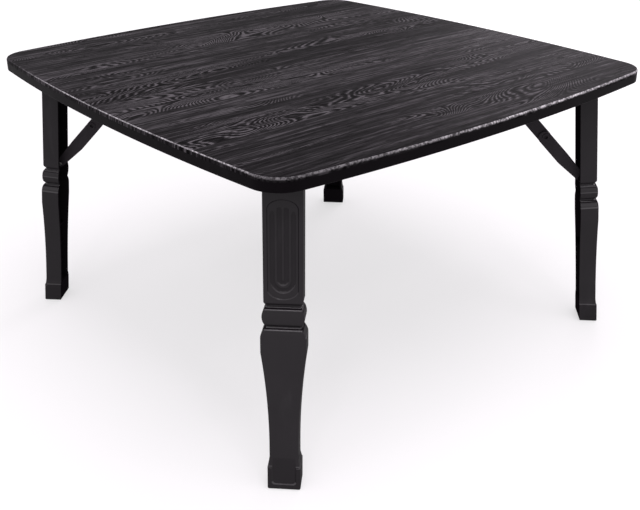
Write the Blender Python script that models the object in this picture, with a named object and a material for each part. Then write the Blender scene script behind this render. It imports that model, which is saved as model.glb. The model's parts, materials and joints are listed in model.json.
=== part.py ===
"""Folding coffee table: a bowed square top on four moulded legs that fold in along its diagonals.

Each leg hinges on a steel plate under the top. A stay of two flat links, straight when the leg
stands, locks it: the lower link turns in the leg's hollow back, the upper link on the plate.
Metres, +Z up, origin on the floor under the middle of the top.
"""
import math

import bmesh
import bpy
from mathutils import Vector

# Whole table
TABLE_HEIGHT = 0.346
FIT_GAP = 0.0003
CUT_PAST = 0.002

# Top
TOP_SIDE = 0.600
SIDE_BOW = 0.018
CORNER_RADIUS = 0.036
BOARD_THICKNESS = 0.015
ARRIS_RADIUS = 0.003
LIP_DEPTH = 0.0045
BAND_THICKNESS = 0.0015
BAND_EDGE_RADIUS = 0.0008

# Place of the legs
LEG_INSET = 0.0583
LEG_SPLAY = math.radians(6.0)
HINGE_DROP = 0.017
HINGE_PIN_RADIUS = 0.0025
HINGE_PIN_EASE = 0.0005

# Leg, from the hinge down
BLOCK_WIDTH = 0.0380
BLOCK_DEPTH = 0.0210
BLOCK_LENGTH = 0.108
NOTCH_DEPTH = 0.0022
NOTCH_CHAMFER = 0.0035
NOTCH_FLAT = 0.0028
RING_WIDTH = 0.0414
RING_LENGTH = 0.0190
RING_PROUD = 0.0008
SHOULDER_WIDTH = 0.0434
SHOULDER_LENGTH = 0.0140
SHOULDER_FLAT = 0.0070
SHOULDER_PROUD = 0.0014
ANKLE_WIDTH = 0.0284
ANKLE_LENGTH = 0.0120
ANKLE_PROUD = 0.0004
FLARE_LENGTH = 0.0150
FOOT_WIDTH = 0.0330
FOOT_LENGTH = 0.0260
FOOT_PROUD = 0.0018
SOLE_RADIUS = 0.0040
LEG_EDGE_RADIUS = 0.0030
RIM_RADIUS = 0.0010

# Hollow back of the leg
SIDE_WALL = 0.0034
FRONT_WALL = 0.0045
RIB_THICKNESS = 0.0025
RIB_COUNT = 3
CHAMBER_END = 0.204
HOLLOW_RADIUS = 0.0005

# Fluted panel on the leg's face, and the sunk panel of the foot
PANEL_TOP = 0.008
PANEL_BORDER = 0.0042
PANEL_END_BORDER = 0.0050
PANEL_ARCH = 0.010
PANEL_DEPTH = 0.0009
FLUTE_COUNT = 4
FLUTE_LAND = 0.0012
FLUTE_DEPTH = 0.0009
FLUTE_INSET = 0.0070
FLUTE_END_LEAN = math.radians(86.0)
FOOT_FRAME = 0.0038
FOOT_FRAME_LOW = 0.0076
FOOT_PANEL_RADIUS = 0.0019

# Folding stay
PIVOT_DROP = 0.115
PIVOT_IN = 0.005
STAY_REACH = 0.103
LINK_WIDTH = 0.0162
LINK_SIDE = 0.0016
LINK_THICKNESS = 0.0025
LINK_TIP_RADIUS = 0.0050
LINK_KINK = 0.038
LINK_NECK = 0.016
LINK_END_RADIUS = 0.0080
STUD_RADIUS = 0.0022
STUD_HEAD_RADIUS = 0.0045
STUD_HEAD_HEIGHT = 0.0014
STUD_CROWN_RADIUS = 0.0032
KNEE_BARREL_RADIUS = 0.0030
KNEE_BORE_RADIUS = 0.0019
KNEE_RIM_RADIUS = 0.0051
KNEE_RIM_HEIGHT = 0.0010
KNEE_EASE = 0.0004
LUG_THICKNESS = 0.0055

# Plate under the top
PLATE_THICKNESS = 0.0020
PLATE_HALF_WIDTH = 0.0112
PLATE_NECK = 0.022
PLATE_END = 0.013
PLATE_TOE = 0.0034
PLATE_CORNER = 0.003
EAR_THICKNESS = 0.0022
EAR_RADIUS = 0.0054
EAR_ROOT = 0.014
STAY_EAR_THICKNESS = 0.0024
STAY_EAR_RADIUS = 0.0062
WINDOW_MARGIN = 0.0015
WINDOW_EDGE = 0.0030
SCREW_REACHES = (0.032, 0.078)
SCREW_SPREAD = 0.0072
SCREW_RADIUS = 0.0015
SCREW_HEAD_RADIUS = 0.0034
SCREW_HEAD_HEIGHT = 0.0019
SCREW_BRIM = 0.0008
SCREW_CROWN_RADIUS = 0.0020
SCREW_LENGTH = 0.0115
SCREW_POINT = 0.0030
SCREW_TIP_RADIUS = 0.0003

# Foot pad
PAD_BORDER = 0.0050
PAD_THICKNESS = 0.0032
PAD_PROUD = 0.0008
PAD_RADIUS = 0.0030

# Facets
BOW_STEPS = 8
CORNER_STEPS = 6
ARC_STEPS = 3
EASE_STEPS = 2
ROUND_STEPS = 10
PIN_STEPS = 10
SCREW_STEPS = 8
END_STEPS = 6
CURVE_STEPS = 5
FLUTE_STEPS = 5
SHARP_ANGLE = math.radians(32.0)

# The way each leg's diagonal points, as a turn from +X, by the leg's place in the photograph
CORNERS = {"front": 225.0, "left": 135.0, "back": 45.0, "right": 315.0}

# Worked out from the sizes above
QUARTER = math.pi / 2
UNDERSIDE = TABLE_HEIGHT - BOARD_THICKNESS
HINGE_HEIGHT = UNDERSIDE - HINGE_DROP
LEG_LENGTH = HINGE_HEIGHT / math.cos(LEG_SPLAY)
TILT = math.tan(LEG_SPLAY)
BACK = -BLOCK_DEPTH / 2
FACE = BLOCK_DEPTH / 2
FLOOR = FACE - FRONT_WALL
BLANK_TOP = HINGE_DROP + BLOCK_DEPTH / 2
HOLLOW_HALF = BLOCK_WIDTH / 2 - SIDE_WALL
EAR_OUTSIDE = HOLLOW_HALF - FIT_GAP
PANEL_END = BLOCK_LENGTH - PANEL_END_BORDER + NOTCH_CHAMFER
LOWER_PLANE = (-FIT_GAP - LINK_THICKNESS, -FIT_GAP)
UPPER_PLANE = (FIT_GAP, FIT_GAP + LINK_THICKNESS)
LUG_PLANE = (LOWER_PLANE[0] - FIT_GAP - LUG_THICKNESS, LOWER_PLANE[0] - FIT_GAP)
STAY_EAR_PLANE = (UPPER_PLANE[1] + FIT_GAP, UPPER_PLANE[1] + FIT_GAP + STAY_EAR_THICKNESS)
PLATE_TOP = UNDERSIDE - FIT_GAP
PLATE_BOTTOM = PLATE_TOP - PLATE_THICKNESS
STAY_DROP = HINGE_DROP - PIVOT_IN


def clear_scene():
    for item in list(bpy.data.objects):
        bpy.data.objects.remove(item, do_unlink=True)


# Shapes

def arc(centre, radius, start, end, steps):
    """Points of a circle's arc in a plane, its two ends among them."""
    turns = [start + (end - start) * i / steps for i in range(steps + 1)]
    return [(centre[0] + radius * math.cos(t), centre[1] + radius * math.sin(t)) for t in turns]


def rounded_rectangle(low, high, radii, steps):
    """Outline of a rectangle; radii and steps run from its high corner, anticlockwise."""
    signs = ((1, 1), (-1, 1), (-1, -1), (1, -1))
    points = []
    for index, (sign, radius, count) in enumerate(zip(signs, radii, steps)):
        x = high[0] - radius if sign[0] > 0 else low[0] + radius
        y = high[1] - radius if sign[1] > 0 else low[1] + radius
        start = index * QUARTER
        points += arc((x, y), radius, start, start + QUARTER, count)
    return points


def finish_mesh(shape, name):
    """A mesh from a bmesh, with its faces turned out."""
    bmesh.ops.recalc_face_normals(shape, faces=shape.faces)
    mesh = bpy.data.meshes.new(name)
    shape.to_mesh(mesh)
    shape.free()
    return mesh


def loft(name, rings):
    """Closed solid through a stack of rings with equal numbers of points."""
    shape = bmesh.new()
    loops = [[shape.verts.new(point) for point in ring] for ring in rings]
    for low, high in zip(loops, loops[1:]):
        for i, corner in enumerate(low):
            j = (i + 1) % len(low)
            shape.faces.new((corner, low[j], high[j], high[i]))
    shape.faces.new(loops[0])
    shape.faces.new(loops[-1])
    return finish_mesh(shape, name)


def closed_ring(name, rings):
    """Closed solid through rings whose last joins the first, like a bent tube."""
    shape = bmesh.new()
    loops = [[shape.verts.new(point) for point in ring] for ring in rings]
    for index, loop in enumerate(loops):
        after = loops[(index + 1) % len(loops)]
        for i, corner in enumerate(loop):
            j = (i + 1) % len(loop)
            shape.faces.new((corner, loop[j], after[j], after[i]))
    return finish_mesh(shape, name)


def sheet(name, outline, low, high, axis):
    """An outline given thickness from low to high, along Y (outline in X, Z) or along Z."""
    lay = {"Y": lambda p, t: (p[0], t, p[1]), "Z": lambda p, t: (p[0], p[1], t)}[axis]
    return loft(name, [[lay(p, level) for p in outline] for level in (low, high)])


def turned(name, profile, steps, axis):
    """A round piece: rings of (radius, height) about the Y or Z axis, closed flat at both ends."""
    lay = {"Y": lambda x, y, h: (x, h, y), "Z": lambda x, y, h: (x, y, h)}[axis]
    turns = [2 * math.pi * i / steps for i in range(steps)]
    rings = [[lay(r * math.cos(t), r * math.sin(t), h) for t in turns] for r, h in profile]
    return loft(name, rings)


def tube(name, profile, steps):
    """A ring-shaped piece about the Y axis: a closed profile of (radius, height) carried round."""
    turns = [2 * math.pi * i / steps for i in range(steps)]
    rings = [[(r * math.cos(t), h, r * math.sin(t)) for r, h in profile] for t in turns]
    return closed_ring(name, rings)


def combine(mesh, tools, operation):
    """Cut each tool from the mesh, or join it on."""
    for tool in tools:
        body = bpy.data.objects.new(mesh.name, mesh)
        other = bpy.data.objects.new(tool.name, tool)
        for item in (body, other):
            bpy.context.scene.collection.objects.link(item)
        step = body.modifiers.new("combine", "BOOLEAN")
        step.operation = operation
        step.solver = "EXACT"
        step.object = other
        graph = bpy.context.evaluated_depsgraph_get()
        result = bpy.data.meshes.new_from_object(body.evaluated_get(graph))
        result.name = mesh.name
        for item in (body, other):
            bpy.data.objects.remove(item, do_unlink=True)
        mesh = result
    return mesh


def moved(mesh, offset):
    for vertex in mesh.vertices:
        vertex.co += Vector(offset)
    return mesh


# Materials and placing

def material(name, colour, roughness, metallic=0.0):
    made = bpy.data.materials.new(name)
    made.use_nodes = True
    surface = made.node_tree.nodes["Principled BSDF"]
    surface.inputs["Base Color"].default_value = (*colour, 1.0)
    surface.inputs["Roughness"].default_value = roughness
    surface.inputs["Metallic"].default_value = metallic
    return made


def place(name, mesh, finish, parent=None, location=(0, 0, 0)):
    """One named piece with its own material."""
    piece = bpy.data.objects.new(name, mesh.copy())
    bpy.context.scene.collection.objects.link(piece)
    piece.data.materials.clear()
    piece.data.materials.append(material(name, *finish))
    piece.data.shade_smooth()
    piece.data.set_sharp_from_angle(angle=SHARP_ANGLE)
    piece.parent = parent
    piece.location = location
    return piece


def frame(name, parent, location, turn_y=0.0, turn_z=0.0):
    """An empty on a joint's axis, which carries the pieces that turn about it."""
    made = bpy.data.objects.new(name, None)
    bpy.context.scene.collection.objects.link(made)
    made.parent = parent
    made.location = location
    made.rotation_euler = (0.0, turn_y, turn_z)
    return made


FILM = ((0.035, 0.034, 0.036), 0.45)
BAND = ((0.010, 0.010, 0.011), 0.40)
PLASTIC = ((0.030, 0.029, 0.031), 0.38)
RUBBER = ((0.020, 0.020, 0.020), 0.80)
BLACK_STEEL = ((0.022, 0.022, 0.024), 0.42, 0.6)
BRIGHT_STEEL = ((0.45, 0.45, 0.46), 0.35, 1.0)


# Top

def side_circle():
    """Radius of a bowed side, and the distance of its centre from the table's middle."""
    half = TOP_SIDE / 2
    radius = (half ** 2 + SIDE_BOW ** 2) / (2 * SIDE_BOW)
    return radius, half - radius


def corner_centre():
    """How far along X and along Y a corner's arc centre lies, tangent inside to both sides."""
    radius, centre = side_circle()
    reach = radius - CORNER_RADIUS
    return (centre + math.sqrt(2 * reach ** 2 - centre ** 2)) / 2


def top_outline(inset):
    """The top's outline, drawn in by inset: a bowed side and a rounded corner, four times."""
    radius, centre = side_circle()
    corner = corner_centre()
    swing = math.atan2(corner, corner - centre)
    side = arc((centre, 0.0), radius - inset, -swing, swing, BOW_STEPS)
    bend = arc((corner, corner), CORNER_RADIUS - inset, swing, QUARTER - swing, CORNER_STEPS)
    quarter = side + bend[1:-1]
    points = []
    for turn in range(4):
        c, s = math.cos(turn * QUARTER), math.sin(turn * QUARTER)
        points += [(c * x - s * y, s * x + c * y) for x, y in quarter]
    return points


def corner_reach():
    """Distance from the middle to the tip of a corner, along the diagonal."""
    return corner_centre() * math.sqrt(2) + CORNER_RADIUS


def top_ring(inset, height):
    return [(x, y, height) for x, y in top_outline(inset)]


def table_top():
    """The board: a rounded lip at the top and a rebate below it for the edge band."""
    rebate = BAND_THICKNESS + FIT_GAP
    lip = TABLE_HEIGHT - LIP_DEPTH
    profile = [(rebate, UNDERSIDE), (rebate, lip), (0.0, lip)]
    centre = (ARRIS_RADIUS, TABLE_HEIGHT - ARRIS_RADIUS)
    profile += arc(centre, ARRIS_RADIUS, math.pi, QUARTER, ARC_STEPS)
    board = loft("table_top", [top_ring(inset, height) for inset, height in profile])
    return combine(board, [pilot_hole(x, y) for x, y in screw_points()], "DIFFERENCE")


def edge_band():
    """A flat strip bent round the board, its lower outer edge eased."""
    low = UNDERSIDE
    high = TABLE_HEIGHT - LIP_DEPTH - FIT_GAP
    ease = BAND_EDGE_RADIUS
    profile = [(BAND_THICKNESS, high), (BAND_THICKNESS, low)]
    profile += arc((ease, low + ease), ease, 3 * QUARTER, math.pi, EASE_STEPS)
    profile += [(0.0, high)]
    return closed_ring("edge_band", [top_ring(inset, height) for inset, height in profile])


# Leg

def leg_ring(drop, half_width, face, back, tilt):
    """One level of the leg. A tilt of 1 lays the level flat on the floor under the splayed leg."""
    radii = (LEG_EDGE_RADIUS, RIM_RADIUS, RIM_RADIUS, LEG_EDGE_RADIUS)
    steps = (EASE_STEPS, 1, 1, EASE_STEPS)
    outline = rounded_rectangle((back, -half_width), (face, half_width), radii, steps)
    return [(x, y, -drop - tilt * TILT * x) for x, y in outline]


def leg_levels():
    """The turned outline read from top to sole: (drop, half width, face, back, tilt)."""
    block = BLOCK_WIDTH / 2
    notch = block - NOTCH_DEPTH
    notch_face = FACE - NOTCH_DEPTH
    ring_top = BLOCK_LENGTH + NOTCH_CHAMFER + NOTCH_FLAT
    ring_low = ring_top + RING_LENGTH
    shoulder_top = ring_low + NOTCH_FLAT
    shoulder_low = shoulder_top + SHOULDER_LENGTH
    taper_top = shoulder_low + SHOULDER_FLAT
    foot_top = LEG_LENGTH - FOOT_LENGTH
    flare_top = foot_top - FLARE_LENGTH
    taper_low = flare_top - ANKLE_LENGTH
    ankle_face = FACE + ANKLE_PROUD
    foot_face = FACE + FOOT_PROUD
    shoulder_face = FACE + SHOULDER_PROUD
    levels = [
        (-BLANK_TOP, block, FACE, BACK, 0.0),
        (BLOCK_LENGTH, block, FACE, BACK, 0.0),
        (BLOCK_LENGTH + NOTCH_CHAMFER, notch, notch_face, BACK, 0.0),
    ]
    for i in range(CURVE_STEPS + 1):
        t = i / CURVE_STEPS
        swell = math.sqrt(abs(math.sin(math.pi * t)))
        half = notch + (RING_WIDTH / 2 - notch) * swell
        face = notch_face + (FACE + RING_PROUD - notch_face) * swell
        levels.append((ring_top + RING_LENGTH * t, half, face, BACK, 0.0))
    for i in range(CURVE_STEPS - 1):
        t = i / (CURVE_STEPS - 2)
        swell = math.sqrt(1 - (1 - t) ** 2)
        half = notch + (SHOULDER_WIDTH / 2 - notch) * swell
        face = notch_face + (shoulder_face - notch_face) * swell
        levels.append((shoulder_top + SHOULDER_LENGTH * t, half, face, BACK, 0.0))
    for i in range(CURVE_STEPS + 1):
        t = i / CURVE_STEPS
        left = (1 - t) ** 2
        half = ANKLE_WIDTH / 2 + (SHOULDER_WIDTH - ANKLE_WIDTH) / 2 * left
        face = ankle_face + (shoulder_face - ankle_face) * left
        levels.append((taper_top + (taper_low - taper_top) * t, half, face, BACK, 0.0))
    for i in range(ARC_STEPS + 1):
        t = i / ARC_STEPS
        half = ANKLE_WIDTH / 2 + (FOOT_WIDTH - ANKLE_WIDTH) / 2 * t ** 2
        face = ankle_face + (foot_face - ankle_face) * t ** 2
        levels.append((flare_top + FLARE_LENGTH * t, half, face, BACK, t))
    sole = LEG_LENGTH - PAD_PROUD
    for i in range(ARC_STEPS + 1):
        t = i / ARC_STEPS * QUARTER
        ease = SOLE_RADIUS * (1 - math.cos(t))
        drop = sole - SOLE_RADIUS * (1 - math.sin(t))
        levels.append((drop, FOOT_WIDTH / 2 - ease, foot_face - ease / 2, BACK + ease / 2, 1.0))
    return levels


def half_width_at(drop):
    """Half the leg's width at a level, between the levels that the outline gives."""
    levels = leg_levels()
    for upper, lower in zip(levels, levels[1:]):
        if upper[0] <= drop <= lower[0]:
            t = (drop - upper[0]) / (lower[0] - upper[0])
            return upper[1] + (lower[1] - upper[1]) * t
    return levels[0][1]


def hollow(name, top, low):
    """A chamber open to the leg's back, whose sides keep the wall's thickness."""
    inner = [level[0] for level in leg_levels() if top < level[0] < low]
    rings = []
    for drop in [top] + inner + [low]:
        half = half_width_at(drop) - SIDE_WALL
        outline = rounded_rectangle((BACK - CUT_PAST, -half), (FLOOR, half), (HOLLOW_RADIUS,) * 4, (1,) * 4)
        rings.append([(x, y, -drop) for x, y in outline])
    return loft(name, rings)


def heel_cut():
    """What the leg's top loses: a flat that bears on the top, and a round heel about the hinge."""
    wide = BLOCK_DEPTH
    above = BLANK_TOP + CUT_PAST
    bear = HINGE_DROP - FIT_GAP
    flat = (wide, bear / math.cos(LEG_SPLAY) - wide * TILT)
    heel = arc((0.0, 0.0), bear, QUARTER - LEG_SPLAY, math.pi, END_STEPS)
    outline = [flat] + heel + [(-wide, 0.0), (-wide, above), (wide, above)]
    return sheet("heel", outline, -BLOCK_WIDTH, BLOCK_WIDTH, "Y")


def arched(half, top, low, rise):
    """Outline (across, drop) of a panel with an arched top and foot."""
    upper = arc((0.0, 0.0), 1.0, math.pi, 2 * math.pi, END_STEPS)
    lower = arc((0.0, 0.0), 1.0, 0.0, math.pi, END_STEPS)
    points = [(half * x, top + rise + rise * y) for x, y in upper]
    return points + [(half * x, low - rise + rise * y) for x, y in lower]


def face_panel():
    """The sunk panel of the upper block, its walls drawn in towards its floor."""
    half = BLOCK_WIDTH / 2 - PANEL_BORDER
    draft = PANEL_DEPTH / 2
    levels = ((FACE + PANEL_DEPTH, -draft), (FACE - PANEL_DEPTH, draft))
    rings = []
    for x, inset in levels:
        points = arched(half - inset, PANEL_TOP + inset, PANEL_END - inset, PANEL_ARCH)
        rings.append([(x, across, -drop) for across, drop in points])
    return loft("panel", rings)


def flutes():
    """Round grooves side by side in the panel, which end on an arch like the panel's own."""
    half = BLOCK_WIDTH / 2 - PANEL_BORDER
    pitch = (2 * half - FLUTE_LAND) / FLUTE_COUNT
    groove = (pitch - FLUTE_LAND) / 2
    tools = []
    for index in range(FLUTE_COUNT):
        across = (index - (FLUTE_COUNT - 1) / 2) * pitch
        rise = PANEL_ARCH * math.sqrt(1 - (across / half) ** 2)
        top = PANEL_TOP + PANEL_ARCH - rise + FLUTE_INSET
        low = PANEL_END - PANEL_ARCH + rise - FLUTE_INSET
        rings = []
        for end, turn in ((top + groove, -1), (low - groove, 0)):
            for step in range(EASE_STEPS + 1):
                lean = (turn + step / EASE_STEPS) * FLUTE_END_LEAN
                width = groove * math.cos(lean)
                drop = end + groove * math.sin(lean)
                deep = FLUTE_DEPTH * math.cos(lean)
                bow = arc((0.0, 0.0), 1.0, math.pi, 2 * math.pi, FLUTE_STEPS)
                points = [(FACE - PANEL_DEPTH + deep * y, across + width * x) for x, y in bow]
                points += [(FACE + PANEL_DEPTH, across + width), (FACE + PANEL_DEPTH, across - width)]
                rings.append([(x, y, -drop) for x, y in points])
        tools.append(loft("flute", rings))
    return tools


def foot_panel():
    """The ankle's face carried down into the foot, inside a frame at its sides and sole."""
    half = FOOT_WIDTH / 2 - FOOT_FRAME
    top = LEG_LENGTH - FOOT_LENGTH - FLARE_LENGTH
    low = LEG_LENGTH - FOOT_FRAME_LOW
    steps = (EASE_STEPS, EASE_STEPS, 1, 1)
    outline = rounded_rectangle((-half, top), (half, low), (FOOT_PANEL_RADIUS,) * 4, steps)
    sunk = FACE + ANKLE_PROUD
    proud = FACE + FOOT_PROUD + CUT_PAST
    rings = [[(x, across, -drop - TILT * x) for across, drop in outline] for x in (sunk, proud)]
    return loft("foot_panel", rings)


def pad_ring(inset, drop):
    half = FOOT_WIDTH / 2 - PAD_BORDER - inset
    low = BACK + PAD_BORDER + inset
    high = FACE + FOOT_PROUD - PAD_BORDER - inset
    radius = PAD_RADIUS - inset
    outline = rounded_rectangle((low, -half), (high, half), (radius,) * 4, (EASE_STEPS,) * 4)
    return [(x, y, -drop - TILT * x) for x, y in outline]


def pad_socket():
    top = LEG_LENGTH - PAD_THICKNESS - FIT_GAP
    return loft("pad_socket", [pad_ring(-FIT_GAP, top), pad_ring(-FIT_GAP, LEG_LENGTH + CUT_PAST)])


def foot_pad():
    ease = PAD_PROUD / 2
    levels = ((0.0, LEG_LENGTH - PAD_THICKNESS), (0.0, LEG_LENGTH - ease), (ease, LEG_LENGTH))
    return loft("foot_pad", [pad_ring(inset, drop) for inset, drop in levels])


def link_lug():
    """The boss in the hollow that holds the lower link's stud."""
    radius = STUD_HEAD_RADIUS + LINK_SIDE
    root = FLOOR + FRONT_WALL / 2
    outline = arc((-PIVOT_IN, -PIVOT_DROP), radius, QUARTER, 3 * QUARTER, END_STEPS)
    outline += [(root, -PIVOT_DROP - radius), (root, -PIVOT_DROP + radius)]
    return sheet("lug", outline, *LUG_PLANE, "Y")


def bore(name, x, z, radius, low, high):
    """A round cutter along Y."""
    return moved(turned(name, [(radius, low), (radius, high)], PIN_STEPS, "Y"), (x, 0.0, z))


def leg():
    """The moulded leg: lofted outside, hollow ribbed back, fluted face, heel, lug and holes."""
    body = loft("leg", [leg_ring(*level) for level in leg_levels()])
    first = CHAMBER_END
    last = LEG_LENGTH - FOOT_LENGTH - RIB_THICKNESS
    length = (last - first - RIB_COUNT * RIB_THICKNESS) / RIB_COUNT
    chambers = [hollow("chamber", -BLANK_TOP - CUT_PAST, first)]
    for index in range(RIB_COUNT):
        top = first + RIB_THICKNESS + index * (length + RIB_THICKNESS)
        chambers.append(hollow("chamber", top, top + length))
    body = combine(body, chambers, "DIFFERENCE")
    body = combine(body, [link_lug()], "UNION")
    pin_hole = HINGE_PIN_RADIUS + FIT_GAP
    stud_hole = STUD_RADIUS + FIT_GAP
    lug_through = (LUG_PLANE[0] - CUT_PAST, LUG_PLANE[1] + CUT_PAST)
    holes = [
        heel_cut(),
        bore("pin_hole", 0.0, 0.0, pin_hole, -BLOCK_WIDTH, BLOCK_WIDTH),
        bore("stud_hole", -PIVOT_IN, -PIVOT_DROP, stud_hole, *lug_through),
        pad_socket(),
        foot_panel(),
        face_panel(),
    ]
    return combine(body, holes + flutes(), "DIFFERENCE")


def hinge_pin():
    half = BLOCK_WIDTH / 2 - FIT_GAP
    shank = half - HINGE_PIN_EASE
    rim = HINGE_PIN_RADIUS - HINGE_PIN_EASE
    profile = [(rim, -half), (HINGE_PIN_RADIUS, -shank), (HINGE_PIN_RADIUS, shank), (rim, half)]
    return turned("hinge_pin", profile, PIN_STEPS, "Y")


# Stay

def stay_points():
    """The leg pivot and the plate pivot in a diagonal's own plane: (outward, up)."""
    c, s = math.cos(LEG_SPLAY), math.sin(LEG_SPLAY)
    reach = leg_reach()
    low = (reach - PIVOT_IN * c + PIVOT_DROP * s, HINGE_HEIGHT - PIVOT_IN * s - PIVOT_DROP * c)
    high = (reach - STAY_REACH, UNDERSIDE - STAY_DROP)
    return low, high


def leg_reach():
    """Distance of a leg's hinge from the middle of the table."""
    return corner_reach() - LEG_INSET + HINGE_DROP * TILT


def link_lengths():
    """Lower and upper link, straight when the leg stands and lying back to back when it is folded."""
    low, high = stay_points()
    total = math.hypot(high[0] - low[0], high[1] - low[1])
    step = PIVOT_DROP - STAY_REACH
    return (total - step) / 2, (total + step) / 2


def stay_slope():
    low, high = stay_points()
    return math.atan2(high[1] - low[1], low[0] - high[0])


def lower_link():
    """Flat link with a slim tip at the leg, a kinked lower edge and a round end at the knee."""
    length = link_lengths()[0]
    upper = -(LINK_WIDTH / 2 - LINK_SIDE)
    lower = LINK_WIDTH / 2 + LINK_SIDE
    outline = arc((0.0, 0.0), LINK_TIP_RADIUS, QUARTER, 3 * QUARTER, END_STEPS)
    outline += knee_end(length, upper, lower)
    outline += [(LINK_KINK, lower)]
    plate = sheet("lower_link", outline, *LOWER_PLANE, "Y")
    holes = [link_hole(0.0, STUD_RADIUS), link_hole(length, KNEE_BARREL_RADIUS)]
    return combine(plate, holes, "DIFFERENCE")


def knee_end(length, low, high):
    """The round end past the knee, from the low edge to the high one."""
    radius = min(LINK_END_RADIUS, (high - low) / 2)
    points = arc((length, low + radius), radius, 3 * QUARTER, 4 * QUARTER, ARC_STEPS)
    return points + arc((length, high - radius), radius, 0.0, QUARTER, ARC_STEPS)


def upper_link():
    """Flat link from the plate to the knee, round at both ends."""
    length = link_lengths()[1]
    low = -(LINK_WIDTH / 2 + LINK_SIDE / 2)
    high = LINK_WIDTH / 2 - LINK_SIDE / 2
    outline = arc((0.0, 0.0), LINK_END_RADIUS - LINK_SIDE, QUARTER, 3 * QUARTER, END_STEPS)
    outline += [(LINK_NECK, low)]
    outline += knee_end(length, low, high)
    outline += [(LINK_NECK, high)]
    plate = sheet("upper_link", outline, *UPPER_PLANE, "Y")
    holes = [link_hole(0.0, STUD_RADIUS), link_hole(length, KNEE_BARREL_RADIUS)]
    return combine(plate, holes, "DIFFERENCE")


def link_hole(x, radius):
    return bore("hole", x, 0.0, radius + FIT_GAP, LOWER_PLANE[0] - CUT_PAST, UPPER_PLANE[1] + CUT_PAST)


def stud(name, outside, inside):
    """A headed stud along Y: its head past the outside face, its end flush with the inside one."""
    sign = 1.0 if outside > inside else -1.0
    seat = outside + sign * FIT_GAP
    crown = seat + sign * STUD_HEAD_HEIGHT
    brim = seat + sign * STUD_HEAD_HEIGHT / 2
    profile = [
        (STUD_RADIUS, inside),
        (STUD_RADIUS, seat),
        (STUD_HEAD_RADIUS, seat),
        (STUD_HEAD_RADIUS, brim),
        (STUD_CROWN_RADIUS, crown),
    ]
    return turned(name, profile, PIN_STEPS, "Y")


def knee_half(name, face, inside):
    """One half of the knee's hollow rivet: a barrel through its own link, and a rolled rim outside."""
    sign = 1.0 if face > inside else -1.0
    seat = face + sign * FIT_GAP
    crown = seat + sign * KNEE_RIM_HEIGHT
    profile = [
        (KNEE_BORE_RADIUS, inside),
        (KNEE_BARREL_RADIUS, inside),
        (KNEE_BARREL_RADIUS, seat),
        (KNEE_RIM_RADIUS, seat),
        (KNEE_RIM_RADIUS - KNEE_EASE, crown),
        (KNEE_BORE_RADIUS + KNEE_EASE, crown),
    ]
    return tube(name, profile, ROUND_STEPS)


# Plate under the top, drawn with the hinge over its origin

def hinge_ear():
    """Outline (outward, up from the hinge) of an ear that hangs from the plate's edge."""
    top = HINGE_DROP - FIT_GAP
    outline = arc((0.0, 0.0), EAR_RADIUS, math.pi, 2 * math.pi, END_STEPS)
    return outline + [(PLATE_TOE, top), (-EAR_ROOT, top)]


def stay_ear():
    """Outline of the lanced ear that carries the upper link."""
    centre = (-STAY_REACH, HINGE_DROP - STAY_DROP)
    top = HINGE_DROP - FIT_GAP
    outline = arc(centre, STAY_EAR_RADIUS, math.pi, 2 * math.pi, END_STEPS)
    return outline + [(centre[0] + STAY_EAR_RADIUS, top), (centre[0] - STAY_EAR_RADIUS, top)]


def leg_plate():
    """Stamped plate: two hinge ears at its wide end, a lanced ear for the stay, screw holes."""
    top = HINGE_DROP - FIT_GAP
    low = top - PLATE_THICKNESS
    end = -STAY_REACH - PLATE_END
    neck = PLATE_HALF_WIDTH
    bend = (end + PLATE_CORNER, neck - PLATE_CORNER)
    half = [(PLATE_TOE, EAR_OUTSIDE), (-EAR_ROOT, EAR_OUTSIDE), (-PLATE_NECK, neck)]
    half += arc(bend, PLATE_CORNER, QUARTER, math.pi, EASE_STEPS)
    outline = half + [(x, -y) for x, y in reversed(half)]
    body = sheet("leg_plate", outline, low, top, "Z")
    inner = EAR_OUTSIDE - EAR_THICKNESS
    ears = [sheet("ear", hinge_ear(), *sorted((side * inner, side * EAR_OUTSIDE)), "Y") for side in (-1, 1)]
    ears.append(sheet("stay_ear", stay_ear(), *STAY_EAR_PLANE, "Y"))
    body = combine(body, ears, "UNION")
    window_low = (-STAY_REACH - STAY_EAR_RADIUS, -neck + WINDOW_EDGE)
    window_high = (-STAY_REACH + STAY_EAR_RADIUS, STAY_EAR_PLANE[0] - WINDOW_MARGIN)
    window = rounded_rectangle(window_low, window_high, (WINDOW_MARGIN,) * 4, (1,) * 4)
    through = (low - CUT_PAST, top + CUT_PAST)
    cuts = [sheet("window", window, *through, "Z")]
    cuts.append(bore("pin_hole", 0.0, 0.0, HINGE_PIN_RADIUS + FIT_GAP, -BLOCK_WIDTH, BLOCK_WIDTH))
    stud_height = HINGE_DROP - STAY_DROP
    stud_end = STAY_EAR_PLANE[1] + CUT_PAST
    cuts.append(bore("stud_hole", -STAY_REACH, stud_height, STUD_RADIUS + FIT_GAP, 0.0, stud_end))
    for x, y in screw_grid():
        hole = turned("screw_hole", [(SCREW_RADIUS + FIT_GAP, z) for z in through], SCREW_STEPS, "Z")
        cuts.append(moved(hole, (x, y, 0.0)))
    return combine(body, cuts, "DIFFERENCE")


def screw_grid():
    """Screw places on one plate, from its hinge: (outward, across)."""
    return [(-reach, side * SCREW_SPREAD) for reach in SCREW_REACHES for side in (-1, 1)]


def screw_points():
    """Every screw place on the underside of the top."""
    points = []
    for turn in CORNERS.values():
        c, s = math.cos(math.radians(turn)), math.sin(math.radians(turn))
        for x, y in screw_grid():
            out = leg_reach() + x
            points.append((c * out - s * y, s * out + c * y))
    return points


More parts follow.
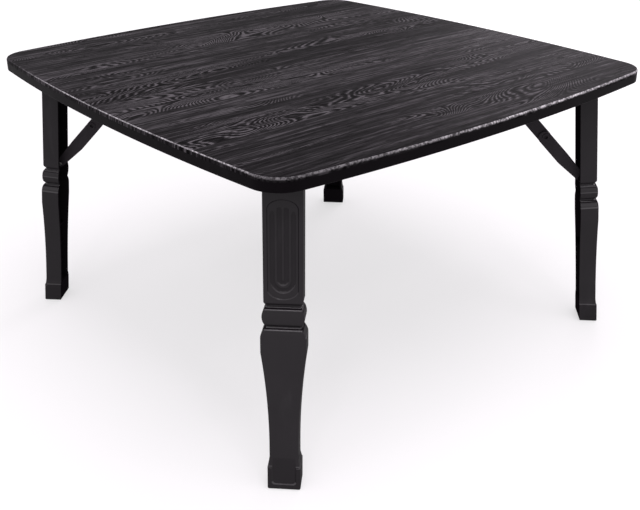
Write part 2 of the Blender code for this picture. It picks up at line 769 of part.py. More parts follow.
def pilot_hole(x, y):
    depth = SCREW_LENGTH - PLATE_THICKNESS
    profile = [(SCREW_RADIUS + FIT_GAP, -CUT_PAST), (SCREW_RADIUS + FIT_GAP, depth)]
    return moved(turned("pilot_hole", profile, SCREW_STEPS, "Z"), (x, y, UNDERSIDE))


def plate_screw():
    """Pan-head screw standing head down, its seat at the origin."""
    profile = [
        (SCREW_CROWN_RADIUS, -SCREW_HEAD_HEIGHT),
        (SCREW_HEAD_RADIUS, -SCREW_BRIM),
        (SCREW_HEAD_RADIUS, 0.0),
        (SCREW_RADIUS, 0.0),
        (SCREW_RADIUS, SCREW_LENGTH - SCREW_POINT),
        (SCREW_TIP_RADIUS, SCREW_LENGTH),
    ]
    return turned("plate_screw", profile, SCREW_STEPS, "Z")


# Assembly

def build_corner(name, turn, meshes):
    """One leg with its plate, screws and stay, on frames that sit on its three joint axes."""
    corner = frame("corner_" + name, None, (0.0, 0.0, 0.0), turn_z=math.radians(turn))
    reach = leg_reach()
    low, high = stay_points()
    slope = stay_slope()
    hinge = frame("hinge_" + name, corner, (reach, 0.0, HINGE_HEIGHT), turn_y=-LEG_SPLAY)
    pivot = frame("link_pivot_" + name, corner, (low[0], 0.0, low[1]), turn_y=math.pi + slope)
    stay = frame("stay_pivot_" + name, corner, (high[0], 0.0, high[1]), turn_y=slope)
    lower, upper = link_lengths()

    place("leg_" + name, meshes["leg"], PLASTIC, hinge)
    place("foot_pad_" + name, meshes["foot_pad"], RUBBER, hinge)
    place("hinge_pin_" + name, meshes["hinge_pin"], BRIGHT_STEEL, hinge)
    place("link_stud_" + name, meshes["link_stud"], BRIGHT_STEEL, hinge, (-PIVOT_IN, 0.0, -PIVOT_DROP))
    place("lower_link_" + name, meshes["lower_link"], BLACK_STEEL, pivot)
    place("knee_rivet_" + name, meshes["knee_rivet"], BRIGHT_STEEL, pivot, (lower, 0.0, 0.0))
    place("upper_link_" + name, meshes["upper_link"], BLACK_STEEL, stay)
    place("knee_collar_" + name, meshes["knee_collar"], BRIGHT_STEEL, stay, (upper, 0.0, 0.0))
    place("leg_plate_" + name, meshes["leg_plate"], BLACK_STEEL, corner, (reach, 0.0, HINGE_HEIGHT))
    place("stay_stud_" + name, meshes["stay_stud"], BRIGHT_STEEL, corner, (high[0], 0.0, high[1]))
    for index, (x, y) in enumerate(screw_grid(), start=1):
        seat = (reach + x, y, PLATE_BOTTOM - FIT_GAP)
        place(f"plate_screw_{name}_{index}", meshes["plate_screw"], BRIGHT_STEEL, corner, seat)


def main():
    clear_scene()
    place("table_top", table_top(), FILM)
    place("edge_band", edge_band(), BAND)
    meshes = {
        "leg": leg(),
        "foot_pad": foot_pad(),
        "hinge_pin": hinge_pin(),
        "link_stud": stud("link_stud", LUG_PLANE[0], LOWER_PLANE[1]),
        "stay_stud": stud("stay_stud", STAY_EAR_PLANE[1], UPPER_PLANE[0]),
        "lower_link": lower_link(),
        "upper_link": upper_link(),
        "knee_rivet": knee_half("knee_rivet", LOWER_PLANE[0], LOWER_PLANE[1]),
        "knee_collar": knee_half("knee_collar", UPPER_PLANE[1], UPPER_PLANE[0]),
        "leg_plate": leg_plate(),
        "plate_screw": plate_screw(),
    }
    for name, turn in CORNERS.items():
        build_corner(name, turn, meshes)


main()
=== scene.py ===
"""Dresses the packed folding coffee table: its pieces, finishes, floor, lights and camera."""
import json
import math

import bmesh
import bpy
from mathutils import Matrix, Vector


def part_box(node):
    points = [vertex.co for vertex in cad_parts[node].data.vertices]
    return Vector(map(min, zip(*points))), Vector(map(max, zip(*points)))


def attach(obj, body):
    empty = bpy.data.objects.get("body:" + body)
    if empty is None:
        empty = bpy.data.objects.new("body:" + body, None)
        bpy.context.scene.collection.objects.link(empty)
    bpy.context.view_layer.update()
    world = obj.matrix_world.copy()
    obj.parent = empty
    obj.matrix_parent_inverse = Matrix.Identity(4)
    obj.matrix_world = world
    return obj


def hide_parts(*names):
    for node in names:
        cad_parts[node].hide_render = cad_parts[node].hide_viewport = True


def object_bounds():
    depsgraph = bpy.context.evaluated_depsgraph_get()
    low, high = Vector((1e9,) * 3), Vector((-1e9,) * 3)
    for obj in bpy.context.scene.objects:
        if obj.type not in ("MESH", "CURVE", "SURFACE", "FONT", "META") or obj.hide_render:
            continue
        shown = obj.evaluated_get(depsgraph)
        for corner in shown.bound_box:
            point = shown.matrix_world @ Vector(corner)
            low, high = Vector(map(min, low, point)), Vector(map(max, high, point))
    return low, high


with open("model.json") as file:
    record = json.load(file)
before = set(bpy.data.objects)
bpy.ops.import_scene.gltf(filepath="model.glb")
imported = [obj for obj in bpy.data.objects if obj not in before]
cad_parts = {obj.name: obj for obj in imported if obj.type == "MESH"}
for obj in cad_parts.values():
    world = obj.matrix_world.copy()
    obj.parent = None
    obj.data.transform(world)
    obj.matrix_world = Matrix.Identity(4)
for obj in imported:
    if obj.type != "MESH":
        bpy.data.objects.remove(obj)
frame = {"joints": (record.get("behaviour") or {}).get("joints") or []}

bl_info = {
    "name": "Folding coffee table",
    "version": (1, 0, 0),
    "blender": (4, 5, 0),
    "location": "3D View > Sidebar > Folding table",
    "description": "Models and finishes a low folding table round its packed frame",
    "category": "Add Mesh",
}

CAD_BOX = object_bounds()
JOINTS = {joint["child"]: Vector(joint["pos_m"]) for joint in frame["joints"]}
CORNERS = ("front", "left", "back", "right")
TOP_LOW, TOP_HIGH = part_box("table_top")
UNDERSIDE = TOP_LOW.z
HALF_SIDE = TOP_HIGH.x
HINGE = JOINTS["leg_front"]
HINGE_DROP = UNDERSIDE - HINGE.z
QUARTER = math.pi / 2
# Lengths below which points count as one: in tests, and along a swept or cut seam
TINY = 1e-5
SEAM = 5e-5
# How far a joined form reaches into its neighbour, and a cutter past what it cuts
BITE = 5e-4
PAST = 0.002
# Turns up to which a surface is shaded as round, or taken as flat
SMOOTH_ANGLE = math.radians(24.0)
FLAT_ANGLE = math.radians(0.5)
# Share of a face's normal along an axis from which it slopes that way, faces it, or lies square to it
SLOPING = 0.2
FACING = 0.5
SQUARE = 0.99


# Sizes and colours that a user would change

def length(name, description, default):
    return bpy.props.FloatProperty(
        name=name, description=description, default=default, unit="LENGTH", precision=5)


def angle(name, description, default):
    return bpy.props.FloatProperty(
        name=name, description=description, default=math.radians(default), subtype="ANGLE")


def count(name, description, default):
    return bpy.props.IntProperty(name=name, description=description, default=default, min=1)


def ratio(name, description, default):
    return bpy.props.FloatProperty(name=name, description=description, default=default, min=0.0)


def colour(name, description, default):
    return bpy.props.FloatVectorProperty(
        name=name, description=description, default=default, size=3, min=0.0, max=1.0, subtype="COLOR")


class TopSizes(bpy.types.PropertyGroup):
    """Sizes of the board and its edge strip"""
    bow: length("Bow", "How far a side swells past a straight line between its ends", 0.018)
    corner: length("Corner radius", "Radius of the rounded corners", 0.036)
    arris: length("Arris radius", "Rounding of the upper edge", 0.003)
    lip: length("Lip depth", "Height of the film's turned edge above the strip", 0.0045)
    strip: length("Strip thickness", "Thickness of the edge strip", 0.0015)
    strip_ease: length("Strip ease", "Rounding of the strip's lower edge", 0.0008)
    margin: length("Margin", "Width of the modelled border inside the outline", 0.012)


class LegSizes(bpy.types.PropertyGroup):
    """Sizes of a moulded leg, from its hinge down"""
    splay: angle("Splay", "How far a leg leans outward", 6.0)
    width: length("Block width", "Width of the upper block", 0.0384)
    depth: length("Block depth", "Depth of the upper block", 0.0210)
    block: length("Block length", "Hinge to the end of the upper block", 0.1112)
    notch: length("Notch depth", "How deep the two notches go at the sides", 0.0022)
    notch_face: length("Notch depth at the face", "How deep the two notches go at the face", 0.0040)
    chamfer: length("Notch chamfer", "Slope from the block into its notch", 0.0045)
    notch_flat: length("Notch flat", "Floor of a notch", 0.0020)
    ring_width: length("Ring width", "Width over the ring", 0.0420)
    ring: length("Ring length", "Length of the ring", 0.0188)
    ring_proud: length("Ring proud", "How far the ring stands in front of the block", 0.0010)
    shoulder_width: length("Shoulder width", "Width over the shoulder", 0.0450)
    shoulder: length("Shoulder length", "Length of the shoulder's rise", 0.0095)
    shoulder_flat: length("Shoulder flat", "Straight length below the shoulder's rise", 0.0165)
    shoulder_proud: length("Shoulder proud", "How far the shoulder stands in front of the block", 0.0016)
    ankle_width: length("Ankle width", "Width over the ankle", 0.0294)
    ankle: length("Ankle length", "Straight length of the ankle", 0.0120)
    ankle_proud: length("Ankle proud", "How far the ankle stands in front of the block", 0.0004)
    flare: length("Flare length", "Length of the flare over the foot", 0.0100)
    foot_width: length("Foot width", "Width over the foot", 0.0336)
    foot: length("Foot length", "Length of the foot", 0.0252)
    foot_proud: length("Foot proud", "How far the foot stands in front of the block", 0.0018)
    foot_step: length("Foot step", "Small ledge where the flare meets the foot", 0.0005)
    edge: length("Edge radius", "Rounding of the two front edges and the sole", 0.0030)
    rim: length("Rim radius", "Rounding of the rim at the open back", 0.0010)
    side_wall: length("Side wall", "Thickness of the leg's cheeks", 0.0034)
    front_wall: length("Front wall", "Thickness behind the leg's face", 0.0052)
    rib: length("Rib thickness", "Thickness of the ribs in the hollow", 0.0025)
    ribs: count("Ribs", "Number of small chambers below the long one", 3)
    chamber: length("Long chamber", "Hinge to the end of the long chamber", 0.204)
    recess: length("Rib recess", "How far the ribs stay behind the rim", 0.0050)
    pad_proud: length("Pad proud", "How far the pad stands below the sole", 0.0008)
    pad: length("Pad thickness", "Thickness of the rubber pad", 0.0032)
    pad_border: length("Pad border", "Sole's width round the pad", 0.0050)
    pad_corner: length("Pad corner", "Corner radius of the pad", 0.0030)


class PanelSizes(bpy.types.PropertyGroup):
    """Sizes of the sunk panels on a leg's face"""
    top: length("Panel top", "Hinge to the top of the fluted panel", 0.008)
    border: length("Border", "Width of the block's face beside the panel", 0.0032)
    end: length("End border", "Block's face below the panel", 0.0015)
    arch: length("Arch", "Rise of the panel's arched ends", 0.010)
    depth: length("Depth", "How deep the panel is sunk", 0.0009)
    draft: length("Draft", "Width of the slope round the panel", 0.0017)
    flutes: count("Flutes", "Number of grooves side by side", 4)
    land: length("Land", "Width left between two grooves", 0.0018)
    flute_depth: length("Flute depth", "How deep a groove goes below the panel", 0.0009)
    flute_inset: length("Flute inset", "Panel's end to the outer groove's end", 0.0070)
    flute_arch: ratio("Flute arch", "Height of a groove's round end over its half width", 1.15)
    foot_frame: length("Foot frame", "Width of the frame beside the foot's panel", 0.0038)
    foot_frame_low: length("Foot frame low", "Height of the frame below the foot's panel", 0.0056)


class StaySizes(bpy.types.PropertyGroup):
    """Sizes of the two-link stay"""
    pivot_drop: length("Pivot drop", "Hinge to the lower link's pivot, along the leg", 0.115)
    pivot_in: length("Pivot in", "How far that pivot lies behind the leg's middle", 0.005)
    knee_half: length("Knee half width", "Half the links' width at the knee", 0.0081)
    side: length("Side offset", "How far the lower link lies below the pivots' line", 0.0016)
    tip: length("Tip radius", "Rounding of the lower link at the leg", 0.0050)
    kink: length("Kink", "Lower pivot to the kink of the lower edge", 0.038)
    neck: length("Neck", "Upper pivot to the link's full width", 0.016)
    end: length("Upper end", "Rounding of the upper link at the plate", 0.0064)
    thickness: length("Thickness", "Thickness of a link", 0.0025)
    gap: length("Running gap", "Gap between pieces that turn on each other", 0.0003)
    edge: length("Edge ease", "Rounding of a link's edges", 0.0004)
    lug: length("Lug thickness", "Thickness of the boss in the leg's hollow", 0.0055)
    lug_border: length("Lug border", "Boss left round the stud's head", 0.0016)
    stud: length("Stud radius", "Radius of the pivots' studs", 0.0022)
    head: length("Head radius", "Radius of a stud's head", 0.0045)
    head_height: length("Head height", "Height of a stud's head", 0.0014)
    barrel: length("Barrel radius", "Radius of the hollow rivet at the knee", 0.0030)
    bore: length("Bore radius", "Radius of the hole through the knee", 0.0024)
    knee_rim: length("Rim radius", "Radius of the rivet's rolled rim", 0.0045)
    knee_rim_height: length("Rim height", "Height of the rivet's rolled rim", 0.0007)


class PlateSizes(bpy.types.PropertyGroup):
    """Sizes of the leg plate, its screws and its pins"""
    thickness: length("Thickness", "Thickness of the plate", 0.0020)
    half_width: length("Half width", "Half the width of the plate's long part", 0.0112)
    neck: length("Neck", "Hinge to the start of the long part", 0.022)
    stay_reach: length("Stay reach", "Hinge to the upper link's pivot", 0.103)
    stay_drop: length("Stay drop", "Underside of the top to the upper link's pivot", 0.012)
    end: length("End", "Plate left past the upper link's pivot", 0.013)
    toe: length("Toe", "Plate left outside the hinge", 0.0034)
    corner: length("Corner", "Radius of the plate's far corners", 0.0030)
    ease: length("Ease", "Rounding of the plate's edges", 0.0003)
    ear: length("Ear thickness", "Thickness of a hinge ear", 0.0022)
    ear_radius: length("Ear radius", "Rounding of a hinge ear", 0.0050)
    ear_root: length("Ear root", "Hinge to the inner end of an ear's root", 0.014)
    ear_out: length("Ear outside", "Middle of the plate to an ear's outer face", 0.0153)
    stay_ear: length("Stay ear thickness", "Thickness of the ear for the stay", 0.0024)
    stay_ear_radius: length("Stay ear radius", "Rounding of the ear for the stay", 0.0062)
    window: length("Window margin", "Corner radius of the window beside that ear", 0.0015)
    window_edge: length("Window edge", "Plate left beside the window", 0.0030)
    pin: length("Pin radius", "Radius of the hinge pin", 0.0025)
    pin_ease: length("Pin ease", "Rounding of the pin's ends", 0.0005)
    screw: length("Screw radius", "Radius of a screw's shank", 0.0015)
    screw_head: length("Screw head", "Radius of a screw's pan head", 0.0034)
    screw_head_height: length("Screw head height", "Height of a screw's pan head", 0.0019)
    screw_length: length("Screw length", "Length under the head", 0.0115)
    screw_point: length("Screw point", "Length of the screw's point", 0.0030)
    screw_spread: length("Screw spread", "Middle of the plate to a screw", 0.0072)
    screw_near: length("Near screws", "Hinge to the first pair of screws", 0.032)
    screw_far: length("Far screws", "Hinge to the second pair of screws", 0.078)


class FinishColours(bpy.types.PropertyGroup):
    """Colours of the finishes"""
    film: colour("Film", "Ground of the wood-grain film", (0.0132, 0.0122, 0.0132))
    film_dark: colour("Film dark", "Dark streaks of the film", (0.0030, 0.0025, 0.0030))
    film_light: colour("Film light", "Light grain lines of the film", (0.0860, 0.0810, 0.0860))
    # Partly a pale scuffed edge, partly a painted highlight along the film's upper edge
    worn: colour("Worn edge", "Bright specks along the upper edge", (0.72, 0.71, 0.72))
    strip: colour("Edge strip", "Plain strip round the board", (0.0022, 0.0015, 0.0022))
    plastic: colour("Moulded plastic", "Satin black of the legs", (0.0182, 0.0168, 0.0182))
    # Painted shade: the darker colour for the legs' back, hollow, creases, grooves and foot
    painted_shade: colour("Bare moulding", "Dull skin at the legs' back and in their hollow", (0.0095, 0.0080, 0.0095))
    # Painted highlight: the light grey for the bright lines and upward slopes on the legs
    painted_glint: colour("Rubbed plastic", "Edges of the legs made lighter by rubbing", (0.2200, 0.2200, 0.2200))
    enamel: colour("Black enamel", "Stays and plates", (0.0230, 0.0205, 0.0230))
    zinc: colour("Zinc", "Screws and studs", (0.46, 0.46, 0.45))
    rubber: colour("Rubber", "Foot pads", (0.012, 0.012, 0.012))
    floor: colour("Floor", "Pale floor", (0.38, 0.38, 0.38))


# Modelling by hand

def put_down():
    """Leave edit mode with nothing selected."""
    if bpy.context.mode != "OBJECT":
        bpy.ops.object.mode_set(mode="OBJECT")
    bpy.ops.object.select_all(action="DESELECT")


def take(piece):
    put_down()
    bpy.context.view_layer.objects.active = piece
    piece.select_set(True)


def begin(kind, name, scale=(1.0, 1.0, 1.0), **settings):
    """Add a primitive at its size and place and open it for editing, all selected."""
    put_down()
    getattr(bpy.ops.mesh, f"primitive_{kind}_add")(**settings)
    piece = bpy.context.object
    piece.scale = scale
    bpy.ops.object.transform_apply(location=True, rotation=True, scale=True)
    piece.name = name
    piece.data.name = name
    bpy.ops.object.mode_set(mode="EDIT")
    select_all()
    return piece


def select_all():
    bpy.ops.mesh.select_all(action="SELECT")


def choose(kind, test):
    """Select the vertices, edges or faces of the open mesh that pass a test."""
    bpy.ops.mesh.select_mode(type=kind)
    bpy.ops.mesh.select_all(action="DESELECT")
    mesh = bpy.context.edit_object.data
    shape = bmesh.from_edit_mesh(mesh)
    elements = {"VERT": shape.verts, "EDGE": shape.edges, "FACE": shape.faces}[kind]
    shape.normal_update()
    for element in elements:
        if test(element):
            element.select_set(True)
    shape.select_flush_mode()
    bmesh.update_edit_mesh(mesh)


def middle(edge):
    return (edge.verts[0].co + edge.verts[1].co) / 2


def run_of(edge):
    return edge.verts[1].co - edge.verts[0].co


def shift(offset):
    bpy.ops.transform.translate(value=offset, orient_type="GLOBAL")


def stretch(factors, about):
    bpy.ops.transform.resize(value=factors, orient_type="GLOBAL", center_override=about)


def pull(offset):
    """Extrude what is selected."""
    bpy.ops.mesh.extrude_region_move(
        TRANSFORM_OT_translate={"value": offset, "orient_type": "GLOBAL"})


def bevel(offset, segments, kind="EDGES", clamp=False):
    """Round the selected edges or corners."""
    bpy.ops.mesh.bevel(offset=offset, segments=segments, affect=kind, clamp_overlap=clamp)


def tidy_mesh(reach=TINY / 2):
    """Close seams and turn the faces outward."""
    bpy.ops.mesh.select_mode(type="VERT")
    select_all()
    bpy.ops.mesh.remove_doubles(threshold=reach)
    bpy.ops.mesh.normals_make_consistent(inside=False)


def use_modifier(piece, kind, **settings):
    take(piece)
    step = piece.modifiers.new(kind.title(), kind)
    for name, value in settings.items():
        setattr(step, name, value)
    bpy.ops.object.modifier_apply(modifier=step.name)


def cut(piece, *tools, operation="DIFFERENCE"):
    """Cut tools from a piece, or join them on, and put the tools away."""
    for tool in tools:
        use_modifier(piece, "BOOLEAN", operation=operation, solver="EXACT", object=tool)
        bpy.data.meshes.remove(tool.data)


def pillar(name, levels):
    """A stack of rectangular levels: (height, back, face, half width, lean about Y)."""
    height, back, face, half, lean = levels[0]
    piece = begin("plane", name, size=1.0, location=((back + face) / 2, 0.0, height),
                  scale=(face - back, 2 * half, 1.0))
    for to_height, to_back, to_face, to_half, to_lean in levels[1:]:
        pull((0.0, 0.0, to_height - height))
        centre = ((back + face) / 2, 0.0, to_height)
        stretch(((to_face - to_back) / (face - back), to_half / half, 1.0), centre)
        shift(((to_back + to_face - back - face) / 2, 0.0, 0.0))
        if to_lean != lean:
            bpy.ops.transform.rotate(value=lean - to_lean, orient_axis="Y", orient_type="GLOBAL",
                                     center_override=(0.0, 0.0, to_height))
        height, back, face, half, lean = to_height, to_back, to_face, to_half, to_lean
    tidy_mesh()
    return piece


def turned(name, profile, steps=40, upright=False):
    """A round piece about the Y axis, or an upright one, through rings of (radius, place along it)."""
    radius, along = profile[0]
    piece = begin("circle", name, vertices=steps, radius=radius, fill_type="NGON",
                  location=(0.0, along, 0.0), rotation=(QUARTER, 0.0, 0.0))
    for to_radius, to_along in profile[1:]:
        pull((0.0, to_along - along, 0.0))
        stretch((to_radius / radius,) * 3, (0.0, to_along, 0.0))
        radius, along = to_radius, to_along
    tidy_mesh()
    if upright:
        turn_piece(piece, about_x=QUARTER)
    return piece


def turn_piece(piece, about_x=0.0, about_y=0.0):
    """Turn a whole piece about the origin."""
    take(piece)
    piece.rotation_euler = (about_x, about_y, 0.0)
    bpy.ops.object.transform_apply(location=True, rotation=True, scale=True)


def peg(name, radius, low, high, x=0.0, z=0.0, steps=40):
    """A plain round cutter along Y."""
    piece = turned(name, [(radius, low), (radius, high)], steps)
    select_all()
    shift((x, 0.0, z))
    return piece


def strap(name, plane, stages, steps=64):
    """A flat bar in X and Z: a disc drawn out from its first stage to each next (x, z, radius)."""
    x, z, radius = stages[0]
    low, high = plane
    piece = begin("cylinder", name, vertices=steps, radius=radius, depth=high - low,
                  location=(x, (low + high) / 2, z), rotation=(QUARTER, 0.0, 0.0))
    way = stages[1][0] - x
    choose("FACE", lambda face: face.normal.x * way > TINY and abs(face.normal.y) < FACING)
    for to_x, to_z, to_radius in stages[1:]:
        pull((to_x - x, 0.0, to_z - z))
        share = to_radius / radius
        stretch((share, 1.0, share), (to_x, 0.0, to_z))
        x, z, radius = to_x, to_z, to_radius
    tidy_mesh()
    bpy.ops.mesh.dissolve_limited(angle_limit=FLAT_ANGLE)
    return piece


def set_out(model, name, anchor, tilt, offset):
    """A copy of a model for each corner, turned to its diagonal and placed on a joint."""
    made = {}
    for corner in CORNERS:
        place = JOINTS[f"{anchor}_{corner}"]
        turn = math.atan2(place.y, place.x)
        copy = model.copy()
        copy.data = model.data.copy()
        copy.name = f"{name}_{corner}"
        copy.data.name = copy.name
        bpy.context.scene.collection.objects.link(copy)
        copy.matrix_world = (Matrix.Translation(place) @ Matrix.Rotation(turn, 4, "Z")
                             @ Matrix.Rotation(tilt, 4, "Y") @ Matrix.Translation(offset))
        take(copy)
        bpy.ops.object.transform_apply(location=True, rotation=True, scale=True)
        made[corner] = copy
    bpy.data.meshes.remove(model.data)
    return made


def close_up(piece, reach):
    """Merge what lies together in a whole piece."""
    take(piece)
    bpy.ops.object.mode_set(mode="EDIT")
    tidy_mesh(reach)


def dress(piece, finish, ease=0.0):
    """Close the mesh, ease its edges, shade round faces smooth and give the piece its finish."""
    if ease:
        close_up(piece, SEAM)
        use_modifier(piece, "BEVEL", width=ease, segments=2, limit_method="ANGLE",
                     angle_limit=SMOOTH_ANGLE, use_clamp_overlap=True)
    close_up(piece, TINY)
    take(piece)
    bpy.ops.object.shade_smooth_by_angle(angle=SMOOTH_ANGLE)
    use_modifier(piece, "WEIGHTED_NORMAL", mode="FACE_AREA", keep_sharp=True)
    piece.data.materials.clear()
    piece.data.materials.append(finish)


def seat(piece, body, slot, *nodes):
    """Ride a piece on its body in place of the packed nodes that it stands for."""
    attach(piece, body)
    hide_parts(*nodes)


# Finishes

# Satin finishes: the material's name, specular level, roughness, scale of the grain and depth of its relief
SATIN = {
    "strip": ("edge_strip_black", 0.03, 0.45, 1400.0, 0.00002),
    "plastic": ("moulded_black", 0.0, 0.55, 2200.0, 0.00003),
    "enamel": ("black_enamel", 0.10, 0.42, 900.0, 0.00004),
    "rubber": ("pad_rubber", 0.20, 0.78, 1800.0, 0.00008),
}
# Face attributes that mark a moulding's painted shade and its painted highlights
PAINTED_LIGHT_MARKS = ("painted_shade", "painted_glint")


class Wire:
    """A socket of a material's node tree, to write sums with."""

    def __init__(self, tree, socket):
        self.tree = tree
        self.socket = socket

    def node(self, kind, settings=None, inputs=None, output=0):
        """Add a node of a type with its settings, then the values or links of its sockets."""
        made = self.tree.nodes.new("ShaderNode" + kind)
        for name, value in (settings or {}).items():
            setattr(made, name, value)
        for name, value in (inputs or {}).items():
            if isinstance(value, Wire):
                self.tree.links.new(value.socket, made.inputs[name])
            else:
                made.inputs[name].default_value = value
        return Wire(self.tree, made.outputs[output])

    def calc(self, operation, first, second=0.0):
        return self.node("Math", {"operation": operation}, {0: first, 1: second})

    def __add__(self, other):
        return self.calc("ADD", self, other)

    __radd__ = __add__

    def __sub__(self, other):
        return self.calc("SUBTRACT", self, other)

    def __rsub__(self, other):
        return self.calc("SUBTRACT", other, self)

    def __mul__(self, other):
        return self.calc("MULTIPLY", self, other)

    def sine(self):
        return self.calc("SINE", self)

    def between(self, low, high):
        """0 below low, 1 above high, smooth between them."""
        return self.node("MapRange", {"interpolation_type": "SMOOTHSTEP"},
                         {"Value": self, "From Min": low, "From Max": high})

    def apart(self, output):
        return self.node("SeparateXYZ", None, {0: self}, output)

    def point(self, x, y, z):
        return self.node("CombineXYZ", None, {0: x, 1: y, 2: z})

    def stretched(self, *factors):
        """A place with each axis stretched by its own factor."""
        return self.point(*(self.apart(axis) * factor for axis, factor in enumerate(factors)))

    def noise(self, place, scale, detail=2.0, roughness=0.5, distortion=0.0):
        return self.node("TexNoise", None, {"Vector": place, "Scale": scale, "Detail": detail,
                                            "Roughness": roughness, "Distortion": distortion})

    def mix(self, share, first, second):
        """A colour between two colours."""
        return self.node("Mix", {"data_type": "RGBA"}, {0: share, 6: first, 7: second}, 2)

    def bump(self, height, distance, strength=1.0):
        return self.node("Bump", None, {"Height": height, "Distance": distance, "Strength": strength})


def new_finish(name, **constants):
    """A material with its surface's fixed values set, and the wire of its object coordinates."""
    made = bpy.data.materials.new(name)
    made.use_nodes = True
    surface = made.node_tree.nodes["Principled BSDF"]
    for key, value in constants.items():
        surface.inputs[key.replace("_", " ")].default_value = value
    coordinates = made.node_tree.nodes.new("ShaderNodeTexCoord")
    return made, surface, Wire(made.node_tree, coordinates.outputs["Object"])


def feed(surface, **wires):
    for key, wire in wires.items():
        wire.tree.links.new(wire.socket, surface.inputs[key.replace("_", " ")])


def tint(values):
    return (*values, 1.0)


def film_grain(place, plain):
    """The film's tone, relief and roughness; plain, from 0 to 1, calms its figure."""
    x, y = place.apart(0), place.apart(1)
    # Planks side by side, each with random values of its own
    wander = place.noise(place.point(x * 1.4, y * 3.0, 0.0), 1.0, 2.0) - 0.5
    across = y + wander * 0.012
    planks = {"W": across * 17.0 + 3.7, "Scale": 1.0, "Randomness": 0.8}
    random = place.node("TexVoronoi", {"voronoi_dimensions": "1D", "feature": "F1"}, planks, "Color")
    first, second, third = (random.apart(axis) for axis in range(3))
    # Growth rings, which show as cathedral figure in some stretches only
    jitter = place.noise(place.point(x * 90.0, y * 260.0, 0.0), 1.0, 2.0) - 0.5
    flow = place.noise(place.point(x * 6.0 + first * 31.0, across * 18.0 + second * 9.0, third * 23.0),
                       1.0, 1.2, 0.4, 0.3)
    ring = (flow * 330.0 + jitter * 1.8).sine()
    line = ring.between(0.10, 0.90) - (0.0 - ring).between(0.10, 0.90)
    show = place.noise(place.point(x * 3.6 + second * 17.0, across * 24.0, first * 11.0), 1.0, 1.5)
    figure = line * (show.between(0.46, 0.62) * (1.0 - plain * 0.85))
    # Flecks that break the rings, fine and broad streaks, and dark pores
    fleck = place.noise(place.point(x * 80.0, y * 340.0, 0.0), 1.0, 2.0).between(0.36, 0.64)
    streak = place.noise(place.point(x * 11.0, across * 330.0, third * 5.0), 1.0, 3.0, 0.7)
    broad = place.noise(place.point(x * 3.0, across * 70.0, third * 7.0), 1.0, 2.0)
    pore = place.noise(place.point(x * 55.0, y * 450.0, 3.0), 1.0, 1.0).between(0.56, 0.70)
    tone = 0.46 + figure * (0.22 + fleck * 0.46) + (streak - 0.5) * (2.0 - plain) - pore * 0.30
    tone = tone + (broad - 0.5) * 0.5 + (first - 0.5) * 0.20 - plain * 0.10
    relief = figure * 0.4 + fleck * 0.4 + streak * 0.5 - pore * 0.6
    return tone, relief, 0.50 + streak * 0.16 + fleck * 0.06


def film_wear(place, drop):
    """Where the upper edge shows bright, partly a pale scuffed edge and partly a painted highlight: a broken
    line, widest and brightest on the -Y side.
    """
    x, y = place.apart(0), place.apart(1)
    near_side = (0.0 - y).between(0.20, 0.28)
    edge = drop * (2.2 - near_side * 1.2)
    core = edge.between(0.0001, 0.0004) * (1.0 - edge.between(0.0016, 0.0026))
    halo = edge.between(0.0001, 0.0005) * (1.0 - edge.between(0.0026, 0.0036)) * near_side
    speck = place.noise(place, 380.0, 3.0, 0.65).between(0.40, 0.62)
    marks = place.noise(place, 75.0, 2.0).between(0.25, 0.62)
    shown = (0.0 - y).between(-0.24, -0.05) * (marks * 0.50 + 0.40) + 0.06
    kept = near_side * (1.0 - x.between(-0.28, 0.16)) * 0.76
    return (core * (speck * 0.50 + 0.20) + halo * speck * 0.35) * shown * (1.0 - kept)


def film_finish(colours):
    """Charcoal wood-grain film: planks with cathedral figure, pores and a bright arris (scuffed, with a
    painted highlight), plainer underneath.
    """
    made, surface, place = new_finish("charcoal_film", IOR=1.46, Specular_IOR_Level=0.01)
    drop = CAD_BOX[1].z - place.apart(2)
    tone, relief, rough = film_grain(place, drop.between(0.006, 0.008))
    ground = place.mix(tone.between(-0.05, 0.50), tint(colours.film_dark), tint(colours.film))
    grained = place.mix(tone.between(0.42, 1.05), ground, tint(colours.film_light))
    coat = place.mix(film_wear(place, drop), grained, tint(colours.worn))
    feed(surface, Base_Color=coat, Roughness=rough, Normal=place.bump(relief, 0.00012, 0.8))
    return made


def satin_finish(name, level, rough, grain, relief, shade, painted_shade=None, painted_glint=None):
    """A black satin finish: fine grain, faint clouds, patches polished by rubbing and, on a moulding, painted
    shade and painted highlights.
    """
    made, surface, place = new_finish(name, Specular_IOR_Level=level)
    cloud = place.noise(place, 26.0, 3.0)
    fine = place.noise(place, grain, 2.0, 0.6)
    rub = place.noise(place.stretched(40.0, 40.0, 9.0), 1.0, 4.0, 0.65).between(0.55, 0.8)
    lighter = tuple(min(1.0, value * 1.5 + 0.002) for value in shade)
    tone = place.mix((cloud * 0.4 + rub * 0.35 + fine * 0.25).between(0.1, 0.95), tint(shade), tint(lighter))
    gloss = rough + cloud * 0.10 - rub * 0.06 + fine * 0.06
    # On a moulding, painted shade pulls faces to the darker colour and takes away most of the coat's
    # reflection, and painted highlights lighten lines to the light grey
    if painted_shade:
        mask, lines = (place.node("Attribute", {"attribute_name": mark}, None, "Fac") for mark in PAINTED_LIGHT_MARKS)
        tone = place.mix(lines * (0.7 + rub * 0.3), place.mix(mask, tone, tint(painted_shade)), tint(painted_glint))
        surface.inputs["Coat Roughness"].default_value = 0.16
        surface.inputs["Coat IOR"].default_value = 2.0
        feed(surface, Coat_Weight=(1.0 - mask) * (0.08 + rub * 0.02 + fine * 0.02))
    feed(surface, Base_Color=tone, Roughness=gloss, Normal=place.bump(fine + cloud * 0.3, relief, 0.5))
    return made


